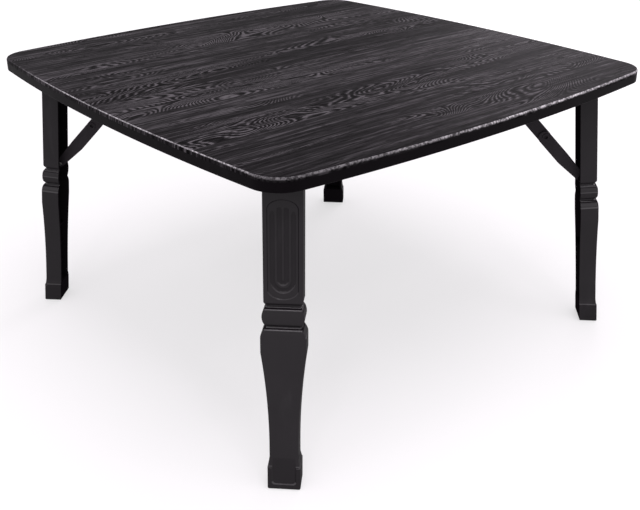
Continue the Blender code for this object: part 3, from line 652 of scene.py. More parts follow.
def zinc_finish(shade):
    """Bright zinc plate, brushed by tumbling and dulled in patches."""
    made, surface, place = new_finish("zinc_plate", Metallic=1.0)
    patch = place.noise(place, 300.0, 3.0, 0.6)
    scratch = place.noise(place.stretched(500.0, 500.0, 4000.0), 1.0, 2.0)
    dull_and_shade = tuple(value * 0.55 for value in shade)
    feed(surface, Base_Color=place.mix(patch.between(0.3, 0.75), tint(shade), tint(dull_and_shade)),
         Roughness=0.28 + patch * 0.25 + scratch * 0.08, Normal=place.bump(scratch, 0.00003, 0.5))
    return made


class Finishes:
    """The finishes, each made once when a piece first asks for it."""
    made = {}

    @classmethod
    def get(cls, name):
        colours = bpy.context.scene.fold_table_colours
        if name not in cls.made:
            shade = getattr(colours, name)
            if name == "film":
                cls.made[name] = film_finish(colours)
            elif name == "zinc":
                cls.made[name] = zinc_finish(shade)
            else:
                # The moulding's colours for painted shade and painted highlight
                painted_tones = (colours.painted_shade, colours.painted_glint) if name == "plastic" else ()
                cls.made[name] = satin_finish(*SATIN[name], shade, *painted_tones)
        return cls.made[name]


# Top

def side_circle(sizes):
    """Radius of a bowed side and the place of its centre on the axis through that side."""
    radius = (HALF_SIDE ** 2 + sizes.bow ** 2) / (2 * sizes.bow)
    return radius, HALF_SIDE - radius


def sweep_round(sizes, side_steps=14, corner_steps=18):
    """Carry the selected section from the middle of one side round the whole outline."""
    radius, centre = side_circle(sizes)
    reach = radius - sizes.corner
    corner = (centre + math.sqrt(2 * reach ** 2 - centre ** 2)) / 2
    swing = math.atan2(corner, corner - centre)
    for quarter in range(4):
        here = Matrix.Rotation(quarter * QUARTER, 3, "Z")
        after = Matrix.Rotation((quarter + 1) * QUARTER, 3, "Z")
        turns = ((here, (centre, 0.0, 0.0), swing, side_steps),
                 (here, (corner, corner, 0.0), QUARTER - 2 * swing, corner_steps),
                 (after, (centre, 0.0, 0.0), swing, side_steps))
        for way, point, sweep, steps in turns:
            bpy.ops.mesh.spin(steps=steps, angle=-sweep, center=way @ Vector(point), axis=(0.0, 0.0, 1.0))
    tidy_mesh(SEAM)


def flat_section(name, inner, outer, low, high):
    """A rectangle in X and Z at the middle of the +X side."""
    return begin("plane", name, size=1.0, location=((inner + outer) / 2, 0.0, (low + high) / 2),
                 rotation=(QUARTER, 0.0, 0.0), scale=(outer - inner, high - low, 1.0))


def outline_only():
    """Keep just the outline of the open flat section, selected."""
    bpy.ops.mesh.select_mode(type="FACE")
    select_all()
    bpy.ops.mesh.dissolve_faces(use_verts=True)
    bpy.ops.mesh.delete(type="ONLY_FACE")
    bpy.ops.mesh.select_mode(type="EDGE")
    select_all()


def film_top(sizes):
    """The board: a section with rounded lip and rebate, carried round, with its two faces filled."""
    high = TOP_HIGH.z
    lip = high - sizes.lip
    inner = HALF_SIDE - sizes.margin
    core = HALF_SIDE - sizes.strip - fit_gap()
    piece = flat_section("film_top", inner, core, UNDERSIDE, high)
    bpy.ops.mesh.bisect(plane_co=(0.0, 0.0, lip), plane_no=(0.0, 0.0, 1.0))
    choose("EDGE", lambda edge: middle(edge).x > core - TINY and middle(edge).z > lip)
    pull((HALF_SIDE - core, 0.0, 0.0))
    choose("VERT", lambda vert: vert.co.x > HALF_SIDE - TINY and vert.co.z > high - TINY)
    bevel(sizes.arris, 8, kind="VERTICES")
    outline_only()
    choose("EDGE", lambda edge: middle(edge).x < inner + TINY)
    bpy.ops.mesh.delete(type="EDGE")
    select_all()
    sweep_round(sizes)
    for upper in (True, False):
        choose("EDGE", lambda edge: edge.is_boundary and (middle(edge).z > lip) == upper)
        bpy.ops.mesh.edge_face_add()
    tidy_mesh()
    return piece


def edge_strip(sizes):
    """The strip: a thin rectangle with an eased lower edge, carried round."""
    high = TOP_HIGH.z - sizes.lip - fit_gap()
    piece = flat_section("edge_strip", HALF_SIDE - sizes.strip, HALF_SIDE, UNDERSIDE, high)
    choose("VERT", lambda vert: vert.co.x > HALF_SIDE - TINY and vert.co.z < UNDERSIDE + TINY)
    bevel(sizes.strip_ease, 4, kind="VERTICES")
    outline_only()
    sweep_round(sizes)
    return piece


def fit_gap():
    """Gap between touching pieces, the same as the stay's running gap."""
    return bpy.context.scene.fold_table_stay.gap


# Leg

# Fullness of the ring and the shoulder, in width and in depth, and the bend of the flare
RING_FULLNESS = (1.7, 3.2)
SHOULDER_FULLNESS = (1.4, 3.6)
FLARE_BEND = 2.2
# Painted light on the ring and the shoulder, by drop below their upper edge: a painted highlight (from, to,
# amount) and a painted shade line in the crease (from, to) on the sides and on the face, the start of a faint
# veil of painted highlight on the sides, and the painted highlight line at the widest level (height, amount)
RING_PAINTED_LIGHT = {
    "side": {"glint": (0.0003, 0.0017, 0.22), "crease": (0.0020, 0.0030)},
    "face": {"glint": (0.0012, 0.0021, 0.42), "crease": (0.0002, 0.0012)},
    "veil": 0.0034,
    "crest": (0.0013, 0.34),
}
SHOULDER_PAINTED_LIGHT = {
    "side": {"glint": (0.0002, 0.0012, 0.22), "crease": (0.0012, 0.0024)},
    "face": {"glint": (0.0010, 0.0019, 0.36), "crease": (0.0002, 0.0010)},
    "veil": 0.0026,
    "crest": (0.0014, 0.40),
}
VEIL_GLINT = 0.07
# Height and painted highlight of the sharp upper edges, and of the line above the foot
LEDGE, LEDGE_GLINT = 0.0002, 0.9
FOOT_LINE, FOOT_LINE_GLINT = 0.0007, 0.30
# Painted shade on the panel's wall, in the grooves and on the foot, and painted highlight on the upward
# slopes
PAINTED_SHADE_LEVELS = {"wall": 0.45, "groove": 0.25, "foot": 0.20}
SLOPE_GLINT = {"panel": 0.16, "foot": 0.26}


def swell(share, power):
    """A rounded rise from 0 to 1 and back, flatter with a higher power."""
    return (1.0 - abs(2.0 * share - 1.0) ** power) ** (1.0 / power)


def shares(steps):
    """Even shares of a stretch, from 0 to 1."""
    return [step / steps for step in range(steps + 1)]


def leg_length(sizes):
    return HINGE.z / math.cos(sizes.splay)


def ring_start(sizes):
    return sizes.block + sizes.chamfer + sizes.notch_flat


def shoulder_start(sizes):
    return ring_start(sizes) + sizes.ring + sizes.notch_flat


def part_levels(start, run, ends, blends):
    """Levels of one part, blended between two pairs of half width and face: (place, width, face, lean)."""
    (half, face), (to_half, to_face) = ends
    return [(start + run * place, half + (to_half - half) * wide, face + (to_face - face) * deep, lean)
            for place, wide, deep, lean in blends]


def leg_levels(sizes):
    """The leg's outline from top to sole: (drop, half width, face, lean)."""
    face = sizes.depth / 2
    block = (sizes.width / 2, face)
    notch = (block[0] - sizes.notch, face - sizes.notch_face)
    ring = (sizes.ring_width / 2, face + sizes.ring_proud)
    shoulder = (sizes.shoulder_width / 2, face + sizes.shoulder_proud)
    ankle = (sizes.ankle_width / 2, face + sizes.ankle_proud)
    foot = (sizes.foot_width / 2, face + sizes.foot_proud)
    flared = (foot[0] - sizes.foot_step, foot[1] - sizes.foot_step)
    levels = [(-HINGE_DROP - face, *block, 0.0), (sizes.block, *block, 0.0)]
    levels += part_levels(sizes.block, sizes.chamfer, (block, notch),
                          [(share, share ** 2, share ** 2, 0.0) for share in shares(6)[1:]])
    wide, deep = RING_FULLNESS
    rise = [(1.0 - math.cos(math.pi * share)) / 2 for share in shares(24)]
    levels += part_levels(ring_start(sizes), sizes.ring, (notch, ring),
                          [(place, swell(place, wide), swell(place, deep), 0.0) for place in rise])
    wide, deep = SHOULDER_FULLNESS
    rise = [1.0 - math.cos(QUARTER * share) for share in shares(16)]
    levels += part_levels(shoulder_start(sizes), sizes.shoulder, (notch, shoulder),
                          [(place, swell(place / 2, wide), swell(place / 2, deep), 0.0) for place in rise])
    total = leg_length(sizes)
    flare = total - sizes.foot - sizes.flare
    taper = shoulder_start(sizes) + sizes.shoulder + sizes.shoulder_flat
    levels += part_levels(taper, flare - sizes.ankle - taper, (ankle, shoulder),
                          [(share, (1.0 - share) ** 2, (1.0 - share) ** 2, 0.0) for share in shares(22)])
    levels += part_levels(flare, sizes.flare, (ankle, flared),
                          [(share, share ** FLARE_BEND, share ** FLARE_BEND, sizes.splay * share)
                           for share in shares(10)])
    levels.append((total - sizes.foot + sizes.foot_step / 2, *foot, sizes.splay))
    levels.append((total + sizes.foot / 2, *foot, sizes.splay))
    return levels


def half_at(levels, drop):
    """Half the leg's width at a level."""
    for upper, lower in zip(levels, levels[1:]):
        if upper[0] <= drop <= lower[0]:
            share = (drop - upper[0]) / max(lower[0] - upper[0], TINY)
            return upper[1] + (lower[1] - upper[1]) * share
    return levels[0][1]


def chamber(name, sizes, levels, top, low, floor, inset=0.0):
    """A cutter for one hollow, open to the back, whose cheeks keep their thickness."""
    past = sizes.depth
    drops = [top] + [level[0] for level in levels if top < level[0] < low] + [low]
    rings = [(-drop, -past, floor, half_at(levels, drop) - sizes.side_wall - inset, 0.0) for drop in drops]
    return pillar(name, rings)


def floor_normal(sizes):
    """Up, as seen from a leg that leans outward."""
    return Vector((math.sin(sizes.splay), 0.0, math.cos(sizes.splay)))


def leg_body(sizes, levels):
    """The leg's outside: stacked levels, a level sole and rounded edges."""
    back = -sizes.depth / 2
    piece = pillar("moulded_leg", [(-drop, back, face, half, lean) for drop, half, face, lean in levels])
    up = floor_normal(sizes)
    sole = -(HINGE.z - sizes.pad_proud)
    head = HINGE_DROP - fit_gap()
    for distance, inner in ((sole, True), (head, False)):
        select_all()
        bpy.ops.mesh.bisect(plane_co=up * distance, plane_no=up, use_fill=True,
                            clear_inner=inner, clear_outer=not inner)
    small = sizes.edge + sizes.rim

    def upright(edge):
        run = run_of(edge)
        return abs(run.x) < small and abs(run.y) < small

    def on_sole(edge):
        return all(abs(vert.co.dot(up) - sole) < TINY for vert in edge.verts)

    choose("EDGE", lambda edge: on_sole(edge) or (upright(edge) and middle(edge).x > 0.0))
    bevel(sizes.edge, 5, clamp=True)
    choose("EDGE", lambda edge: upright(edge) and middle(edge).x < back + TINY)
    bevel(sizes.rim, 2, clamp=True)
    tidy_mesh()
    return piece


def heel_tool(sizes):
    """What the back of the leg's head loses: all that lies outside a circle about the hinge."""
    wide = sizes.width
    far = HINGE_DROP + sizes.depth
    reach = HINGE_DROP - fit_gap()
    start = reach * math.sin(sizes.splay)
    tool = begin("cube", "heel_tool", size=1.0, location=((start - far) / 2, 0.0, far / 2),
                 scale=(start + far, wide * 2, far))
    cut(tool, peg("heel_round", reach, -wide * 2, wide * 2, steps=128))
    return tool


def arched_tool(name, half, top, low, arch, depth, draft):
    """A cutter for a panel with arched ends, narrower at its floor."""
    tool = begin("cylinder", name, vertices=64, radius=half, depth=depth * 2, rotation=(0.0, QUARTER, 0.0))
    stretch((1.0, 1.0, arch / half), (0.0, 0.0, 0.0))
    shift((0.0, 0.0, -top - arch))
    choose("FACE", lambda face: face.normal.z < -TINY and abs(face.normal.x) < FACING)
    pull((0.0, 0.0, -(low - top - 2 * arch)))
    middle_drop = -(top + low) / 2
    choose("VERT", lambda vert: vert.co.x < 0.0)
    tall = (low - top) / 2
    stretch((1.0, 1.0 - draft / half, 1.0 - draft / tall), (0.0, 0.0, middle_drop))
    tidy_mesh()
    bpy.ops.mesh.dissolve_limited(angle_limit=FLAT_ANGLE)
    return tool


def flute_tool(name, radius, half, depth, top, low, centre):
    """A cutter for one groove: an oval led round the panel's foot and up both sides, run out at the top."""
    lift = 2 * depth
    wide = half / math.sqrt(1.0 - (lift / (lift + depth)) ** 2)
    tool = begin("circle", name, vertices=32, radius=1.0, location=(lift, radius, 0.0),
                 scale=(lift + depth, wide, 1.0))
    bpy.ops.mesh.spin(steps=32, angle=math.pi, center=(0.0, 0.0, 0.0), axis=(1.0, 0.0, 0.0))
    select_all()
    bpy.ops.mesh.fill_holes(sides=0)
    select_all()
    stretch((1.0, 1.0, (low - centre) / (radius + half)), (0.0, 0.0, 0.0))
    choose("FACE", lambda face: len(face.verts) > 4)
    pull((0.0, 0.0, centre - top - radius))
    pull((lift, 0.0, radius))
    tidy_mesh()
    shift((0.0, 0.0, -centre))
    return tool


def flute_face(piece, sizes, panel):
    """Sink the arched panel into the block's face and cut the nested grooves into its floor."""
    face = sizes.depth / 2
    floor = face - panel.depth
    half = sizes.width / 2 - panel.border
    low = sizes.block - panel.end
    sunk = arched_tool("face_panel", half, panel.top, low, panel.arch, panel.depth, panel.draft)
    put_down()
    sunk.location.x = face
    cut(piece, sunk)
    pitch = (2 * half - 2 * panel.draft - panel.land) / panel.flutes
    groove = (pitch - panel.land) / 2
    widest = (panel.flutes - 1) / 2 * pitch + groove
    start = panel.top + panel.flute_inset
    end = low - panel.flute_inset
    centre = end - widest * panel.flute_arch
    for index in range(panel.flutes // 2):
        radius = (index + 0.5) * pitch
        foot = centre + (radius + groove) * panel.flute_arch
        tool = flute_tool("flute", radius, groove, panel.flute_depth, start, foot, centre)
        put_down()
        tool.location.x = floor
        cut(piece, tool)


def foot_tool(sizes, panel):
    """A cutter that carries the ankle's face down into the foot, with rounded corners and sloping sides."""
    half = sizes.foot_width / 2 - panel.foot_frame
    total = leg_length(sizes)
    sunk = sizes.depth / 2 + sizes.ankle_proud
    deep = 2 * (sizes.foot_proud - sizes.ankle_proud)
    top = total - sizes.foot - sizes.flare
    low = total - panel.foot_frame_low
    centre = -(top + low) / 2
    tool = begin("cube", "foot_panel", size=1.0, location=(sunk + deep / 2, 0.0, centre),
                 scale=(deep, half * 2 + deep, low - top + deep))
    choose("EDGE", lambda edge: abs(run_of(edge).x) > TINY and middle(edge).z < centre)
    bevel(panel.foot_frame, 6)
    choose("VERT", lambda vert: vert.co.x < sunk + TINY)
    stretch((1.0, 1.0 - deep / half, 1.0 - deep / (low - top)), (0.0, 0.0, centre))
    return tool


def lug_tool(sizes, stay):
    """The boss in the hollow that holds the lower link's stud, and the hole through it."""
    lower = -stay.gap * 2 - stay.thickness
    plane = (lower - stay.lug, lower)
    radius = stay.head + stay.lug_border
    root = sizes.depth / 2 - sizes.front_wall + BITE
    lug = begin("cylinder", "lug", vertices=32, radius=radius, depth=stay.lug,
                location=(-stay.pivot_in, sum(plane) / 2, -stay.pivot_drop), rotation=(QUARTER, 0.0, 0.0))
    choose("FACE", lambda face: face.normal.x > TINY and abs(face.normal.y) < FACING)
    pull((root + stay.pivot_in, 0.0, 0.0))
    stretch((0.0, 1.0, 1.0), (root, 0.0, 0.0))
    tidy_mesh()
    hole = peg("stud_hole", stay.stud + stay.gap, plane[0] - PAST, plane[1] + PAST,
               -stay.pivot_in, -stay.pivot_drop)
    return lug, hole


def moulded_leg(sizes, panel, stay, plate):
    """The whole moulding: outside, hollow ribbed back, heel, fluted face, foot panel, lug and holes."""
    levels = leg_levels(sizes)
    piece = leg_body(sizes, levels)
    last = leg_length(sizes) - sizes.foot - sizes.rib
    small = (last - sizes.chamber - sizes.ribs * sizes.rib) / sizes.ribs
    floor = sizes.depth / 2 - sizes.front_wall
    end = sizes.chamber + sizes.ribs * (small + sizes.rib)
    cut(piece, chamber("rib_recess", sizes, levels, -HINGE_DROP * 2, end, sizes.recess - sizes.depth / 2))
    cut(piece, chamber("long_chamber", sizes, levels, -HINGE_DROP * 2, sizes.chamber, floor))
    for index in range(sizes.ribs):
        top = sizes.chamber + sizes.rib + index * (small + sizes.rib)
        cut(piece, chamber(f"chamber_{index}", sizes, levels, top, top + small, floor, fit_gap()))
    lug, hole = lug_tool(sizes, stay)
    cut(piece, lug, operation="UNION")
    wide = sizes.width
    pin_hole = peg("pin_hole", plate.pin + fit_gap(), -wide, wide)
    cut(piece, hole, heel_tool(sizes), pin_hole, foot_tool(sizes, panel))
    socket = pad_block("pad_socket", sizes, fit_gap(), -sizes.pad_proud)
    turn_piece(socket, about_y=sizes.splay)
    cut(piece, socket)
    flute_face(piece, sizes, panel)
    mark_skin(piece, sizes, panel, levels)
    return piece


def worn_levels(sizes):
    """Painted highlight lines (from, to, amount) and painted shade in the creases (from, to) by drop, on a
    leg's sides and on its face.
    """
    ring = ring_start(sizes)
    shoulder = shoulder_start(sizes)
    foot = leg_length(sizes) - sizes.foot
    lines = {"side": [], "face": []}
    creases = {"side": [], "face": []}
    for start, crest, marks in ((ring, ring + sizes.ring / 2, RING_PAINTED_LIGHT),
                               (shoulder, shoulder + sizes.shoulder, SHOULDER_PAINTED_LIGHT)):
        for side in lines:
            low, high, amount = marks[side]["glint"]
            lines[side] += [(start, start + LEDGE, LEDGE_GLINT), (start + low, start + high, amount)]
            low, high = marks[side]["crease"]
            creases[side].append((start + low, start + high))
        height, amount = marks["crest"]
        lines["side"] += [(start + marks["veil"], crest - height, VEIL_GLINT), (crest - height, crest, amount)]
    for side in lines:
        lines[side].append((foot - FOOT_LINE, foot + sizes.foot_step, FOOT_LINE_GLINT))
    return lines, creases


def mark_skin(piece, sizes, panel, levels):
    """Mark painted shade on the back, hollow, creases, grooves and foot, and painted highlights along the
    edges and slopes.
    """
    lines, creases = worn_levels(sizes)
    foot = leg_length(sizes) - sizes.foot
    inner = sizes.depth / 2 - sizes.front_wall + TINY
    floor = sizes.depth / 2 - panel.depth
    for mark in PAINTED_LIGHT_MARKS:
        piece.data.attributes.new(mark, "FLOAT", "FACE")
    painted_shade, painted_glint = (piece.data.attributes[mark] for mark in PAINTED_LIGHT_MARKS)
    for face in piece.data.polygons:
        x, y, z = face.center
        out, aside, up = face.normal
        side = "side" if abs(aside) > FACING else "face"
        inside = x < inner and abs(y) < half_at(levels, -z) - sizes.side_wall + TINY
        hidden = inside or out < -FACING
        fluted = x > inner and -z < sizes.block and abs(y) < sizes.width / 2 - panel.border
        on_foot = -z > foot
        # Painted shade: foot, grooves and panel wall partly shaded, hidden back, hollow and creases fully
        dull_and_shade = PAINTED_SHADE_LEVELS["foot"] if on_foot else 0.0
        if fluted and x < floor - TINY:
            dull_and_shade = PAINTED_SHADE_LEVELS["groove"]
        elif fluted and x > floor + TINY and abs(aside) > SLOPING:
            dull_and_shade = PAINTED_SHADE_LEVELS["wall"]
        if hidden or any(low < -z < high for low, high in creases[side]):
            dull_and_shade = 1.0
        # Painted highlight: light lines along the edges, and on slopes facing up and out
        worn = max((amount for low, high, amount in lines[side] if low < -z < high), default=0.0)
        if up > SLOPING and out > SLOPING and (fluted or on_foot):
            worn = SLOPE_GLINT["panel"] if fluted else SLOPE_GLINT["foot"]
        painted_shade.data[face.index].value = dull_and_shade
        painted_glint.data[face.index].value = 0.0 if hidden else worn


def pad_block(name, sizes, grow, low):
    """The pad's outline as a block under an upright hinge, larger all round by a gap."""
    half = sizes.foot_width / 2 - sizes.pad_border + grow
    out = leg_length(sizes) * math.sin(sizes.splay)
    upright = math.cos(sizes.splay)
    inner = (sizes.pad_border - sizes.depth / 2) / upright + out - grow
    outer = (sizes.depth / 2 + sizes.foot_proud - sizes.pad_border) / upright + out + grow
    high = sizes.pad + grow
    piece = begin("cube", name, size=1.0, location=((inner + outer) / 2, 0.0, (low + high) / 2 - HINGE.z),
                  scale=(outer - inner, half * 2, high - low))
    choose("EDGE", lambda edge: abs(run_of(edge).z) > TINY)
    bevel(sizes.pad_corner + grow, 6)
    return piece


def sole_pad(sizes):
    """Rubber pad with an eased rim and a dished underside."""
    piece = pad_block("sole_pad", sizes, 0.0, 0.0)
    sole = -HINGE.z
    ease = sizes.pad_proud / 2
    choose("EDGE", lambda edge: all(abs(vert.co.z - sole) < TINY for vert in edge.verts))
    bevel(ease, 3)
    choose("FACE", lambda face: face.normal.z < -SQUARE)
    bpy.ops.mesh.inset(thickness=sizes.pad_corner / 2)
    bpy.ops.mesh.inset(thickness=ease)
    shift((0.0, 0.0, ease))
    tidy_mesh()
    return piece


# Plate and fittings

# Flat crown of a head as a share of its radius, and brim of a screw's head as a share of its height
STUD_CROWN = 0.55
SCREW_CROWN = 0.5
SCREW_BRIM = 0.35
# Blunt tip of a screw as a share of its radius
SCREW_TIP = 0.2
# Cross in a screw's head as shares of its radius and height: length, width, depth, and taper to its floor
CROSS_ARM, CROSS_SLIM, CROSS_DEPTH, CROSS_TAPER = 1.15, 0.24, 1.1, 0.6
# Where the rounding of a pin's end has its middle point, as a share of its size
PIN_ROUND = 0.3


def fold_ears(plate, low):
    """Draw the two hinge ears down from the sides of the open plate and round them about the hinge."""
    inside = plate.ear_out - plate.ear
    for side in (-1, 1):
        select_all()
        bpy.ops.mesh.bisect(plane_co=(0.0, side * inside, 0.0), plane_no=(0.0, 1.0, 0.0))
    choose("FACE", lambda face: face.normal.z < -FACING and abs(face.calc_center_median().y) > inside
           and face.calc_center_median().x > -plate.ear_root)
    pull((0.0, 0.0, -low))
    shift(((plate.ear_root - plate.toe) / 2, 0.0, 0.0))
    stretch((2 * plate.ear_radius / (plate.ear_root + plate.toe), 1.0, 1.0), (0.0, 0.0, 0.0))
    pull((0.0, 0.0, -plate.ear_radius))
    choose("EDGE", lambda edge: middle(edge).z < TINY - plate.ear_radius and abs(run_of(edge).y) > TINY)
    bevel(plate.ear_radius, 12, clamp=True)
    tidy_mesh()


def hanging_ear(plane, x, z, radius, top):
    """The ear for the stay: a disc round its pivot, drawn up to the plate."""
    piece = begin("cylinder", "stay_ear", vertices=48, radius=radius, depth=plane[1] - plane[0],
                  location=(x, sum(plane) / 2, z), rotation=(QUARTER, 0.0, 0.0))
    choose("FACE", lambda face: face.normal.z > TINY and abs(face.normal.y) < FACING)
    pull((0.0, 0.0, top - z))
    stretch((1.0, 1.0, 0.0), (0.0, 0.0, top))
    tidy_mesh()
    bpy.ops.mesh.dissolve_limited(angle_limit=FLAT_ANGLE)
    return piece


def screw_places(plate):
    """Where the four screws stand, from the hinge: (along the plate, across it)."""
    return [(-reach, side * plate.screw_spread)
            for reach in (plate.screw_near, plate.screw_far) for side in (-1, 1)]


def stamped_plate(plate, stay):
    """Plate with two hinge ears, a lanced ear beside its window, and holes."""
    top = HINGE_DROP - stay.gap
    low = top - plate.thickness
    end = -plate.stay_reach - plate.end
    piece = begin("cube", "stamped_plate", size=1.0,
                  location=((plate.toe - plate.ear_root) / 2, 0.0, (top + low) / 2),
                  scale=(plate.toe + plate.ear_root, plate.ear_out * 2, plate.thickness))
    choose("FACE", lambda face: face.normal.x < -FACING)
    pull((plate.ear_root - plate.neck, 0.0, 0.0))
    stretch((1.0, plate.half_width / plate.ear_out, 1.0), (0.0, 0.0, 0.0))
    pull((end + plate.neck, 0.0, 0.0))
    choose("EDGE", lambda edge: abs(run_of(edge).z) > TINY and middle(edge).x < end + TINY)
    bevel(plate.corner, 6)
    fold_ears(plate, low)
    upper = link_planes(stay)[1]
    plane = (upper[1] + stay.gap, upper[1] + stay.gap + plate.stay_ear)
    height = HINGE_DROP - plate.stay_drop
    bend = top - plate.thickness / 4
    ear = hanging_ear(plane, -plate.stay_reach, height, plate.stay_ear_radius, bend)
    cut(piece, ear, operation="UNION")
    left, right = -plate.half_width + plate.window_edge, plane[0] - plate.window
    window = begin("cube", "window", size=1.0, location=(-plate.stay_reach, (left + right) / 2, top),
                   scale=(plate.stay_ear_radius * 2, right - left, plate.thickness * 4))
    choose("EDGE", lambda edge: abs(run_of(edge).z) > TINY)
    bevel(plate.window, 5)
    wide = plate.ear_out * 2
    cut(piece, window, peg("pin_hole", plate.pin + stay.gap, -wide, wide),
        peg("stud_hole", stay.stud + stay.gap, 0.0, plane[1] * 2, -plate.stay_reach, height))
    radius = plate.screw + stay.gap
    for x, y in screw_places(plate):
        hole = turned("screw_hole", [(radius, 0.0), (radius, top * 2)], steps=24, upright=True)
        hole.location = (x, y, 0.0)
        cut(piece, hole)
    return piece


def rounded_head(radius, crown, start, way, height):
    """Rings of a pan head from its brim to its crown."""
    turns = [QUARTER * share for share in shares(5)]
    return [(crown + (radius - crown) * math.cos(turn), start + way * height * math.sin(turn))
            for turn in turns]


def headed_stud(name, stay, outside, inside):
    """A stud through its pieces, with a low pan head past the outside face."""
    way = 1.0 if outside > inside else -1.0
    seat_at = outside + way * stay.gap
    brim = seat_at + way * stay.head_height / 3
    profile = [(stay.stud - stay.gap, inside), (stay.stud, inside + way * stay.gap), (stay.stud, seat_at),
               (stay.head, seat_at)]
    profile += rounded_head(stay.head, stay.head * STUD_CROWN, brim, way, stay.head_height * 2 / 3)
    return turned(name, profile)


def hinge_pin(plate, half):
    """A plain pin with eased ends."""
    ease = plate.pin_ease
    part = ease * PIN_ROUND
    end = [(plate.pin - ease, half), (plate.pin - part, half - part), (plate.pin, half - ease)]
    start = [(radius, -along) for radius, along in end]
    return turned("pivot_pin", start + list(reversed(end)))


def pan_screw(plate):
    """Pan-head screw standing head down, with a cross cut in its head."""
    head, height = plate.screw_head, plate.screw_head_height
    brim = height * SCREW_BRIM
    dome = rounded_head(head, head * SCREW_CROWN, -brim, -1.0, height - brim)
    shank = plate.screw_length - plate.screw_point
    profile = list(reversed(dome))
    profile += [(head, 0.0), (plate.screw, 0.0), (plate.screw, shank),
                (plate.screw * SCREW_TIP, plate.screw_length)]
    piece = turned("pan_screw", profile, upright=True)
    arm, slim = head * CROSS_ARM, head * CROSS_SLIM
    for wide, deep in ((arm, slim), (slim, arm)):
        slot = begin("cube", "cross", size=1.0, location=(0.0, 0.0, -height),
                     scale=(wide, deep, height * CROSS_DEPTH))
        choose("VERT", lambda vert: vert.co.z > -height)
        stretch((CROSS_TAPER, CROSS_TAPER, 1.0), (0.0, 0.0, 0.0))
        cut(piece, slot)
    return piece


# Stay

# How far the rivet's rim rolls inward, as a share of its height
RIM_ROLL = 0.8


def stay_slope():
    """Angle of the stay below level, from its two pivots."""
    low, high = JOINTS["lower_link_front"], JOINTS["upper_link_front"]
    return math.atan2(high.z - low.z, low.xy.length - high.xy.length)


def link_lengths(stay):
    """Lengths of the lower and the upper link, from pivot to knee."""
    low, high = JOINTS["lower_link_front"], JOINTS["upper_link_front"]
    total = (high - low).length
    step = stay.pivot_drop - (HINGE.xy.length - high.xy.length)
    return (total - step) / 2, (total + step) / 2


def link_planes(stay):
    """Where the lower and the upper link lie across the stay: (low, high)."""
    return (-stay.gap - stay.thickness, -stay.gap), (stay.gap, stay.gap + stay.thickness)


def link_holes(name, stay, knee):
    """Cutters for a link's two holes, at its pivot and at its knee."""
    low, high = -stay.thickness * 3, stay.thickness * 3
    return (peg(name + "_pivot_hole", stay.stud + stay.gap, low, high),
            peg(name + "_knee_hole", stay.barrel + stay.gap, low, high, knee))


def stay_link(name, stay, plane, knee, side, neck, end):
    """Flat link: full width from its knee to its neck, then slimmer to its pivot."""
    stages = [(knee, side, stay.knee_half), (neck, side, stay.knee_half), (0.0, 0.0, end)]
    piece = strap(f"{name}_stay", plane, stages)
    cut(piece, *link_holes(name, stay, knee))
    return piece


def knee_half(name, stay, outside, inside):
    """Half of the hollow rivet: a barrel through its link and a rolled rim."""
    way = 1.0 if outside > inside else -1.0
    seat_at = outside + way * stay.gap
    crown = stay.knee_rim_height
    profile = [(stay.barrel, inside), (stay.barrel, seat_at), (stay.knee_rim, seat_at)]
    for share in shares(6)[1:]:
        turn = QUARTER * share
        profile.append((stay.knee_rim - crown * RIM_ROLL * (1.0 - math.cos(turn)),
                        seat_at + way * crown * math.sin(turn)))
    piece = turned(name, profile, steps=48)
    web = inside + way * stay.thickness / 3
    cut(piece, peg(name + "_bore", stay.bore, *sorted((web, outside + way * stay.thickness))))
    return piece


# Operators

# Finishes of the pieces at the corners, with their slots
SLOTS = {
    "plastic": "moulded_plastic",
    "enamel": "black_steel",
    "zinc": "bright_steel",
    "rubber": "rubber_pad",
}


def furnish(model, name, finish, anchor, node, body=None, tilt=0.0, offset=(0.0, 0.0, 0.0), ease=0.0):
    """Dress a model, set it out on a joint of each corner and seat each copy in place of its node."""
    dress(model, Finishes.get(finish), ease)
    for corner, piece in set_out(model, name, anchor, tilt, offset).items():
        seat(piece, body or f"{anchor}_{corner}", SLOTS[finish], node.format(corner))


class BuildTop(bpy.types.Operator):
    """Model the film-covered board and the strip round its edge"""
    bl_idname = "fold_table.build_top"
    bl_label = "Top and edge strip"

    def execute(self, context):
        sizes = context.scene.fold_table_top
        board = film_top(sizes)
        dress(board, Finishes.get("film"))
        seat(board, "table", "film_top", "table_top")
        strip = edge_strip(sizes)
        dress(strip, Finishes.get("strip"))
        seat(strip, "table", "edge_band", "edge_band")
        return {"FINISHED"}


class BuildLegs(bpy.types.Operator):
    """Model the moulded leg and set one out at each corner"""
    bl_idname = "fold_table.build_legs"
    bl_label = "Moulded legs"

    def execute(self, context):
        scene = context.scene
        leg = scene.fold_table_leg
        model = moulded_leg(leg, scene.fold_table_panel, scene.fold_table_stay, scene.fold_table_plate)
        furnish(model, "moulded_leg", "plastic", "leg", "leg_{}", tilt=-leg.splay)
        return {"FINISHED"}


